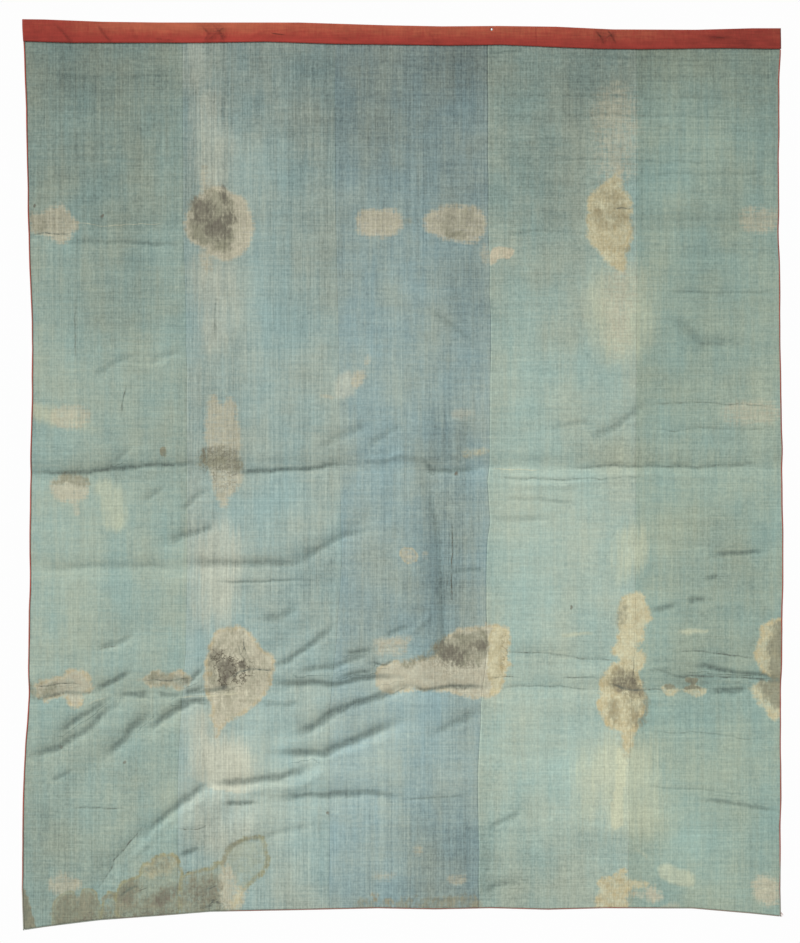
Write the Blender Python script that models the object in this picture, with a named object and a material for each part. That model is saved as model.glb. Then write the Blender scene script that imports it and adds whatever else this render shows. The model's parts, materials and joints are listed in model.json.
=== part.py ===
"""A lined wall hanging that hangs flat, seen from its lining side. For Blender 4.5.

Metres, +Z up. The lining side faces -Y. The origin is at the middle of the top edge,
which is where the hanging is held.
"""

from collections import namedtuple
from math import cos, radians, sin

import bmesh
import bpy
import numpy as np

MM = 0.001

# Thickness of each cloth, and the gap that keeps neighbouring pieces apart
LINING_THICK = 1.0 * MM
FACE_THICK = 1.2 * MM
BINDING_THICK = 1.0 * MM
GAP = 0.3 * MM

# Widths of the bindings, from the outline inwards, on the lining side and on the face
HEADING_FRONT = 56.0 * MM
HEADING_BACK = 14.0 * MM
EDGING_WIDE = 4.5 * MM
HEM_EDGING_WIDE = 3.5 * MM

# A rim of the cloth this wide is level under the bindings
RIM = 5.0 * MM
FOLD_STEPS = 3

# The hanging's shape, in millimetres from the middle of its top edge: at each drop, how
# far across the two side edges and the four seams of the lining lie
Section = namedtuple("Section", "drop left seam_1 seam_2 seam_3 seam_4 right")
SECTIONS = (
    Section(0, -997, -576, -176, 224, 615, 994),
    Section(216, -989, -576, -176, 224, 615, 989),
    Section(531, -982, -574, -174, 226, 615, 989),
    Section(847, -971, -566, -168, 233, 615, 994),
    Section(1160, -977, -565, -164, 227, 615, 999),
    Section(1404, -978, -565, -159, 221, 613, 1001),
    Section(1636, -981, -567, -174, 223, 610, 997),
    Section(1794, -984, -581, -190, 207, 602, 993),
    Section(1960, -994, -589, -191, 199, 596, 994),
    Section(2267, -1001, -589, -191, 201, 594, 992),
    Section(2378, -997, -589, -191, 201, 594, 994),
)

# Height of the top edge and of the hem at each place across, also in millimetres
Edge = namedtuple("Edge", "across top hem")
EDGES = (
    Edge(-997, 17, -2378),
    Edge(-920, 16, -2367),
    Edge(-773, 10, -2349),
    Edge(-626, 8, -2338),
    Edge(-479, 8, -2326),
    Edge(-258, 8, -2322),
    Edge(-37, 1, -2317),
    Edge(110, -2, -2320),
    Edge(258, -1, -2317),
    Edge(405, -3, -2321),
    Edge(552, -10, -2317),
    Edge(773, -11, -2317),
    Edge(920, -7, -2330),
    Edge(994, -7, -2338),
)

# How many steps the mesh takes across each loom width
WIDTH_STEPS = (7, 6, 5, 4, 4)
WIDTHS = len(WIDTH_STEPS)

# Bands of the mesh down the middle of the cloth: where each ends, in millimetres, and its
# steps. The narrow bands lie on either side of a fold that runs the whole way across.
Band = namedtuple("Band", "ends steps")
BANDS = (
    Band(499, 6),
    Band(529, 1),
    Band(559, 1),
    Band(1128, 7),
    Band(1160, 1),
    Band(1192, 1),
    Band(1388, 3),
    Band(1418, 1),
    Band(1448, 1),
    Band(1714, 4),
    Band(1746, 1),
    Band(1778, 1),
    Band(2262, 9),
)

# Broad unevenness of the hanging cloth: centre, half sizes and rise towards the viewer
Swell = namedtuple("Swell", "across drop half_width half_height rise")
SWELLS = (
    Swell(-640, 430, 300, 380, 6.0),
    Swell(-190, 800, 280, 330, -5.0),
    Swell(370, 560, 300, 420, 6.0),
    Swell(820, 900, 230, 470, -5.0),
    Swell(-780, 1560, 260, 230, 6.0),
    Swell(-330, 1590, 220, 130, 5.0),
    Swell(-240, 2060, 400, 200, 5.0),
    Swell(400, 1960, 330, 300, -6.0),
    Swell(800, 2020, 210, 330, 7.0),
    Swell(-880, 2250, 190, 150, -7.0),
)

# Folds and creases: half width and rise, in millimetres, and the route as places across
# and drops. A crease with a rise below zero lies back, away from the viewer.
Crease = namedtuple("Crease", "half_width rise route")
CREASES = (
    Crease(26, -3.0, ((-978, 542), (-137, 523), (994, 531))),
    Crease(28, -7.0, ((-978, 1176), (-600, 1160), (-150, 1156), (231, 1160), (994, 1155))),
    Crease(28, -6.0, ((-978, 1424), (-295, 1418), (-189, 1365), (-97, 1304))),
    Crease(30, -8.0, ((-978, 1752), (-531, 1744), (231, 1740), (626, 1738), (994, 1746))),
    Crease(28, -4.0, ((271, 1644), (573, 1676), (784, 1699), (994, 1723))),
    Crease(34, -6.0, ((74, 1181), (100, 1404), (110, 1640))),
    Crease(34, -6.0, ((-807, 2259), (-663, 2115), (-505, 1983))),
    Crease(30, -5.0, ((-939, 1917), (-847, 1838), (-755, 1786))),
    Crease(30, -5.0, ((-821, 1949), (-729, 1878), (-671, 1812))),
    Crease(30, -5.0, ((-676, 1846), (-558, 1786))),
    Crease(34, -6.0, ((-518, 1983), (-368, 1978), (-242, 1936))),
    Crease(34, -6.0, ((-334, 1917), (-189, 1905), (-5, 1830))),
    Crease(30, -5.0, ((-334, 1868), (-189, 1812))),
    Crease(34, -6.0, ((-466, 2067), (-360, 2036), (-150, 2015), (-5, 2028))),
    Crease(30, -4.0, ((-807, 1641), (-715, 1596))),
    Crease(30, -4.0, ((-615, 1354), (-492, 1310))),
    Crease(30, -5.0, ((-379, 1681), (-268, 1594), (-203, 1549))),
)

# The mount holds the top still, and the folds come to their full depth this far down
FREE_BELOW = 420.0 * MM
HELD_SHARE = 0.35

LINING_COLOURS = (
    (0.29, 0.36, 0.33),
    (0.32, 0.40, 0.37),
    (0.28, 0.36, 0.33),
    (0.36, 0.43, 0.37),
    (0.33, 0.40, 0.34),
)
RED = (0.34, 0.065, 0.045)
FACE_RED = (0.26, 0.045, 0.040)
CLOTH_ROUGH = 0.92

# Lifts towards the viewer from the middle surface, which lies between lining and face
LINING_LIFTS = (GAP / 2, GAP / 2 + LINING_THICK)
FACE_LIFTS = (-GAP / 2 - FACE_THICK, -GAP / 2)
FOLD_CENTRE = (LINING_THICK - FACE_THICK) / 2
FOLD_INNER = (LINING_THICK + FACE_THICK + GAP) / 2 + GAP
FOLD_OUTER = FOLD_INNER + BINDING_THICK
CLOTH_ENDS = FOLD_OUTER + 0.1 * MM

SECTION_TABLE = np.array(SECTIONS) * MM
EDGE_TABLE = np.array(EDGES) * MM
CLOTH_TALL = -np.interp(0, EDGE_TABLE[:, 0], EDGE_TABLE[:, 2])
MIDDLE_Z = -CLOTH_TALL / 2

# A line of the mesh: its place, counted in loom widths across or as a share of the way
# down, and a shift in metres to the right or upwards
Line = namedtuple("Line", "place shift")


def across_at(line, z):
    """How far across a line of the mesh lies at the height z."""
    drops = SECTION_TABLE[:, 0]
    row = [np.interp(-z, drops, SECTION_TABLE[:, seam + 1]) for seam in range(WIDTHS + 1)]
    return float(np.interp(line.place, range(WIDTHS + 1), row)) + line.shift


def height_at(line, x):
    """The height of a line of the mesh at the place x across."""
    top = np.interp(x, EDGE_TABLE[:, 0], EDGE_TABLE[:, 1])
    hem = np.interp(x, EDGE_TABLE[:, 0], EDGE_TABLE[:, 2])
    return float(top + (hem - top) * line.place) + line.shift


def crossing(across, down):
    """Where two lines of the mesh cross, as (x, z)."""
    z = height_at(down, across_at(across, MIDDLE_Z))
    return across_at(across, z), z


def distance_to_route(x, z, route):
    """Shortest distance from (x, z) to a crease's route."""
    point = np.array((x, z))
    nearest = np.inf
    for start, end in zip(route, route[1:]):
        start = np.array((start[0], -start[1])) * MM
        along = np.array((end[0], -end[1])) * MM - start
        share = np.clip(np.dot(point - start, along) / np.dot(along, along), 0, 1)
        nearest = min(nearest, np.linalg.norm(point - start - along * share))
    return nearest


def relief(x, z):
    """How far the hanging cloth stands towards the viewer at (x, z)."""
    x = min(max(x, across_at(Line(0, RIM), z)), across_at(Line(WIDTHS, -RIM), z))
    z = min(max(z, height_at(Line(1, RIM), x)), height_at(Line(0, -RIM), x))
    rise = 0.0
    for swell in SWELLS:
        aside = (x - swell.across * MM) / (swell.half_width * MM)
        below = (z + swell.drop * MM) / (swell.half_height * MM)
        rise += swell.rise * MM * np.exp(-(aside**2) - below**2)
    for crease in CREASES:
        away = distance_to_route(x, z, crease.route) / (crease.half_width * MM)
        rise += crease.rise * MM * np.exp(-(away**2))
    free = min(max(-z / FREE_BELOW, 0.0), 1.0)
    return rise * (HELD_SHARE + (1 - HELD_SHARE) * free * free * (3 - 2 * free))


def new_piece(name, colour, collection, holder):
    """A piece with its own cloth material and a mesh that is still empty."""
    material = bpy.data.materials.new(name)
    material.use_nodes = True
    shader = material.node_tree.nodes["Principled BSDF"]
    shader.inputs["Base Color"].default_value = (*colour, 1.0)
    shader.inputs["Roughness"].default_value = CLOTH_ROUGH
    shader.inputs["Metallic"].default_value = 0.0
    material.diffuse_color = (*colour, 1.0)
    mesh = bpy.data.meshes.new(name)
    mesh.materials.append(material)
    piece = bpy.data.objects.new(name, mesh)
    piece.parent = holder
    collection.objects.link(piece)
    return piece


def make_cloth(piece, across, down, place):
    """Fills a piece's mesh: a grid with a line for each entry of across and of down, made
    a closed solid by extruding its second side. place gives each point from its entries."""
    bm = bmesh.new()
    column = bm.verts.layers.int.new("column")
    row = bm.verts.layers.int.new("row")
    columns, rows = len(across) - 1, len(down) - 1
    bmesh.ops.create_grid(bm, x_segments=columns, y_segments=rows, size=1)
    for vert in bm.verts:
        vert[column] = round((vert.co.x + 1) / 2 * columns)
        vert[row] = round((1 - vert.co.y) / 2 * rows)
    bmesh.ops.triangulate(bm, faces=bm.faces[:], quad_method="FIXED")
    extruded = bmesh.ops.extrude_face_region(bm, geom=bm.faces[:])["geom"]
    second = {item for item in extruded if isinstance(item, bmesh.types.BMVert)}
    for vert in bm.verts:
        vert.co = place(across[vert[column]], down[vert[row]], vert in second)
    bmesh.ops.recalc_face_normals(bm, faces=bm.faces[:])
    if bm.calc_volume(signed=True) < 0:
        bmesh.ops.reverse_faces(bm, faces=bm.faces[:])
    bm.to_mesh(piece.data)
    bm.free()
    piece.data.shade_smooth()
    piece.data.set_sharp_from_angle(angle=radians(50))


def sheet_place(lifts):
    """Places a flat sheet's points: both sides follow the relief, a thickness apart."""

    def place(across, down, second):
        x, z = crossing(across, down)
        return x, -relief(x, z) - lifts[1 if second else 0], z

    return place


def fold_profile(front_wide, back_wide, front_lines=()):
    """Section of a strip folded over an edge, from the end of its front leg, over the
    fold, to the end of its back leg. Each row is the distance in from the outline and the
    lift, for the strip's inner side and for its outer one."""
    rows = []
    for inwards in (front_wide, *front_lines):
        rows.append(((inwards, FOLD_CENTRE + FOLD_INNER), (inwards, FOLD_CENTRE + FOLD_OUTER)))
    for step in range(FOLD_STEPS + 1):
        turn = radians(90 - 180 * step / FOLD_STEPS)
        rows.append(
            tuple(
                (FOLD_OUTER - radius * cos(turn), FOLD_CENTRE + radius * sin(turn))
                for radius in (FOLD_INNER, FOLD_OUTER)
            )
        )
    rows.append(((back_wide, FOLD_CENTRE - FOLD_INNER), (back_wide, FOLD_CENTRE - FOLD_OUTER)))
    return rows


def side_fold_place(edge, inwards_sign):
    """Places an edging's points along a side edge, folded round it sideways."""

    def place(section, down, second):
        inwards, lift = section[1 if second else 0]
        x, z = crossing(Line(edge, inwards_sign * inwards), down)
        return x, -relief(x, z) - lift, z

    return place


def level_fold_place(end, inwards_sign):
    """Places a strip's points along the top edge or the hem, folded over it."""

    def place(across, section, second):
        inwards, lift = section[1 if second else 0]
        x, z = crossing(across, Line(end, inwards_sign * inwards))
        return x, -relief(x, z) - lift, z

    return place


def inner_lines(width):
    """Lines of the mesh inside one loom width, without the seams at its two sides."""
    steps = WIDTH_STEPS[width]
    return [Line(width + step / steps, 0) for step in range(1, steps)]


def lines_across(start_shift, end_shift):
    """Every line across the whole cloth, from start_shift inside its left outline."""
    lines = [Line(0, start_shift)]
    if start_shift < RIM:
        lines.append(Line(0, RIM))
    for width in range(WIDTHS):
        lines += inner_lines(width)
        if width < WIDTHS - 1:
            lines.append(Line(width + 1, 0))
    if end_shift > -RIM:
        lines.append(Line(WIDTHS, -RIM))
    lines.append(Line(WIDTHS, end_shift))
    return lines


def lines_down():
    """Lines between the heading's lower edge and the rim above the hem."""
    lines = []
    start = HEADING_FRONT / MM
    for band in BANDS:
        for step in range(1, band.steps + 1):
            drop = start + (band.ends - start) * step / band.steps
            lines.append(Line(drop * MM / CLOTH_TALL, 0))
        start = band.ends
    return lines


def width_lines(width):
    """Lines across one loom width of the lining, from its left edge to its right one."""
    left = [Line(width, GAP / 2)]
    right = [Line(width + 1, -GAP / 2)]
    if width == 0:
        left = [Line(0, CLOTH_ENDS), Line(0, RIM)]
    if width == WIDTHS - 1:
        right = [Line(WIDTHS, -RIM), Line(WIDTHS, -CLOTH_ENDS)]
    return left + inner_lines(width) + right


for old in list(bpy.data.objects):
    bpy.data.objects.remove(old)

hanging = bpy.data.collections.new("lined_wall_hanging")
bpy.context.scene.collection.children.link(hanging)
top_edge = bpy.data.objects.new("top_edge", None)
hanging.objects.link(top_edge)

heading_rows = [Line(0, -RIM), Line(0, -HEADING_FRONT / 2), Line(0, -HEADING_FRONT)]
body_rows = lines_down()
hem_rows = [Line(1, RIM)]
cloth_rows = [Line(0, -CLOTH_ENDS), *heading_rows, *body_rows, *hem_rows, Line(1, CLOTH_ENDS)]

for index, colour in enumerate(LINING_COLOURS):
    lining = new_piece(f"lining_{index + 1}", colour, hanging, top_edge)
    make_cloth(lining, width_lines(index), cloth_rows, sheet_place(LINING_LIFTS))

face_cloth = new_piece("face_cloth", FACE_RED, hanging, top_edge)
make_cloth(face_cloth, lines_across(CLOTH_ENDS, -CLOTH_ENDS), cloth_rows, sheet_place(FACE_LIFTS))

heading = new_piece("heading", RED, hanging, top_edge)
heading_profile = fold_profile(HEADING_FRONT, HEADING_BACK, (HEADING_FRONT / 2, RIM))
make_cloth(heading, lines_across(0, 0), heading_profile, level_fold_place(0, -1))

edging_profile = fold_profile(EDGING_WIDE, EDGING_WIDE)
edging_rows = [Line(0, -HEADING_FRONT - GAP), *body_rows, *hem_rows, Line(1, 0)]
edging_left = new_piece("edging_left", RED, hanging, top_edge)
make_cloth(edging_left, edging_profile, edging_rows, side_fold_place(0, 1))
edging_right = new_piece("edging_right", RED, hanging, top_edge)
make_cloth(edging_right, edging_profile, edging_rows, side_fold_place(WIDTHS, -1))

edging_bottom = new_piece("edging_bottom", RED, hanging, top_edge)
hem_profile = fold_profile(HEM_EDGING_WIDE, HEM_EDGING_WIDE)
hem_lines = lines_across(RIM + GAP, -RIM - GAP)
make_cloth(edging_bottom, hem_lines, hem_profile, level_fold_place(1, 1))
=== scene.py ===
import json
from collections import namedtuple
from math import cos, hypot, radians, sin

import bmesh
import bpy
import numpy as np
from mathutils import Matrix, Vector

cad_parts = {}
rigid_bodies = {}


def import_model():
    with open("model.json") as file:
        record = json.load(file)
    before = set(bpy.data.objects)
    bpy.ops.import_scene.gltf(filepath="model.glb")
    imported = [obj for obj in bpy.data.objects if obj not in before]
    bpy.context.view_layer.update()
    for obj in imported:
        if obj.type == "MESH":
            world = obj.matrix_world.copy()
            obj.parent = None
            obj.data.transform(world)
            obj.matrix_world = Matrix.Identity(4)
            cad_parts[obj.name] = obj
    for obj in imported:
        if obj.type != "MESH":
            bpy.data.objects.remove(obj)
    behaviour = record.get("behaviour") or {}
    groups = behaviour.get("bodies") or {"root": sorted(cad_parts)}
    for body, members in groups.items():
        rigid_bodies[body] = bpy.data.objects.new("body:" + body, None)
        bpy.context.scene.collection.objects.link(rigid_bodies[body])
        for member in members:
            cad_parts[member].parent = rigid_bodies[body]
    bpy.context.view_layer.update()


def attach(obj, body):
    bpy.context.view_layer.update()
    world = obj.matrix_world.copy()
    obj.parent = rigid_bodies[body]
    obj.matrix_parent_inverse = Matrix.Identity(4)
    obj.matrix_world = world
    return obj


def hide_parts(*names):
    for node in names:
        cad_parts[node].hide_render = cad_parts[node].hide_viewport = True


for old in list(bpy.data.objects):
    bpy.data.objects.remove(old)

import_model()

# The lining
#
# Five loom widths of plain-weave cotton, dyed with indigo and faded to a greyed teal, and
# seamed side by side by hand. The cloth still shows the folds in which it was put away,
# with tide marks and mould where damp came through the pack.

MM = 0.001
LINING_THICK = 1.0 * MM
GAP = 0.3 * MM
LINING_FRONT = GAP / 2 + LINING_THICK

# The cloth lies flat in a narrow rim round the outline, where the strips are folded over
# it, and its raw ends stop short of their folds
RIM = 5.0 * MM
CLOTH_ENDS = 2.65 * MM

# In millimetres from the middle of the top edge: at each drop, how far across the two
# side edges and the four seams lie
Section = namedtuple("Section", "drop left seam_1 seam_2 seam_3 seam_4 right")
SECTIONS = (
    Section(0, -997, -576, -176, 224, 615, 994),
    Section(216, -989, -576, -176, 224, 615, 989),
    Section(531, -982, -574, -174, 226, 615, 989),
    Section(847, -971, -566, -168, 233, 615, 994),
    Section(1160, -977, -565, -164, 227, 615, 999),
    Section(1404, -978, -565, -159, 221, 613, 1001),
    Section(1636, -981, -567, -174, 223, 610, 997),
    Section(1794, -984, -581, -190, 207, 602, 993),
    Section(1960, -994, -589, -191, 199, 596, 994),
    Section(2267, -1001, -589, -191, 201, 594, 992),
    Section(2378, -997, -589, -191, 201, 594, 994),
)

# The third seam was pulled unevenly, and wavers by this much from the line above
Waver = namedtuple("Waver", "drop shift")
THIRD_SEAM_WAVERS = (
    Waver(1060, 0),
    Waver(1155, 2),
    Waver(1195, -3),
    Waver(1300, 6),
    Waver(1350, 0),
    Waver(1460, -2),
    Waver(1560, 0),
    Waver(1780, -2),
    Waver(1850, 0),
)

# Height of the top edge and of the hem at each place across
Edge = namedtuple("Edge", "across top hem")
EDGES = (
    Edge(-997, 17, -2378),
    Edge(-920, 16, -2367),
    Edge(-773, 10, -2349),
    Edge(-626, 8, -2338),
    Edge(-479, 8, -2326),
    Edge(-258, 8, -2322),
    Edge(-37, 1, -2317),
    Edge(110, -2, -2320),
    Edge(258, -1, -2317),
    Edge(405, -3, -2321),
    Edge(552, -10, -2317),
    Edge(773, -11, -2317),
    Edge(920, -7, -2330),
    Edge(994, -7, -2338),
)
SECTION_TABLE = np.array(SECTIONS) * MM
EDGE_TABLE = np.array(EDGES) * MM
WAVER_TABLE = np.array(THIRD_SEAM_WAVERS) * MM
WIDTHS = SECTION_TABLE.shape[1] - 2
MIDDLE_Z = np.interp(0, EDGE_TABLE[:, 0], EDGE_TABLE[:, 2]) / 2
CLOTH_TALL = -MIDDLE_Z * 2 / MM

# Broad unevenness of the hanging cloth: centre, half sizes and rise towards the viewer
Swell = namedtuple("Swell", "across drop half_width half_height rise")
SWELLS = (
    Swell(-640, 430, 300, 380, 6.0),
    Swell(-190, 800, 280, 330, -5.0),
    Swell(370, 560, 300, 420, 6.0),
    Swell(820, 900, 230, 470, -5.0),
    Swell(-780, 1560, 260, 230, 6.0),
    Swell(-330, 1590, 220, 130, 5.0),
    Swell(-240, 2060, 400, 200, 5.0),
    Swell(400, 1960, 330, 300, -6.0),
    Swell(800, 2020, 210, 330, 7.0),
    Swell(-880, 2250, 190, 150, -7.0),
)

# The main folds: half width, rise and route, as places across and drops. A fold with a
# rise below zero lies back, away from the viewer.
Fold = namedtuple("Fold", "half_width rise route")
FOLDS = (
    Fold(26, -3.0, ((-978, 542), (-137, 523), (994, 531))),
    Fold(28, -7.0, ((-978, 1176), (-600, 1160), (-150, 1156), (231, 1160), (994, 1155))),
    Fold(28, -6.0, ((-978, 1424), (-295, 1418), (-189, 1365), (-97, 1304))),
    Fold(30, -8.0, ((-978, 1752), (-531, 1744), (231, 1740), (626, 1738), (994, 1746))),
    Fold(28, -4.0, ((271, 1644), (573, 1676), (784, 1699), (994, 1723))),
    Fold(34, -6.0, ((74, 1181), (100, 1404), (110, 1640))),
    Fold(34, -6.0, ((-807, 2259), (-663, 2115), (-505, 1983))),
    Fold(30, -5.0, ((-939, 1917), (-847, 1838), (-755, 1786))),
    Fold(30, -5.0, ((-821, 1949), (-729, 1878), (-671, 1812))),
    Fold(30, -5.0, ((-676, 1846), (-558, 1786))),
    Fold(34, -6.0, ((-518, 1983), (-368, 1978), (-242, 1936))),
    Fold(34, -6.0, ((-334, 1917), (-189, 1905), (-5, 1830))),
    Fold(30, -5.0, ((-334, 1868), (-189, 1812))),
    Fold(34, -6.0, ((-466, 2067), (-360, 2036), (-150, 2015), (-5, 2028))),
    Fold(30, -4.0, ((-807, 1641), (-715, 1596))),
    Fold(30, -4.0, ((-615, 1354), (-492, 1310))),
    Fold(30, -5.0, ((-379, 1681), (-268, 1594), (-203, 1549))),
)

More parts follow.
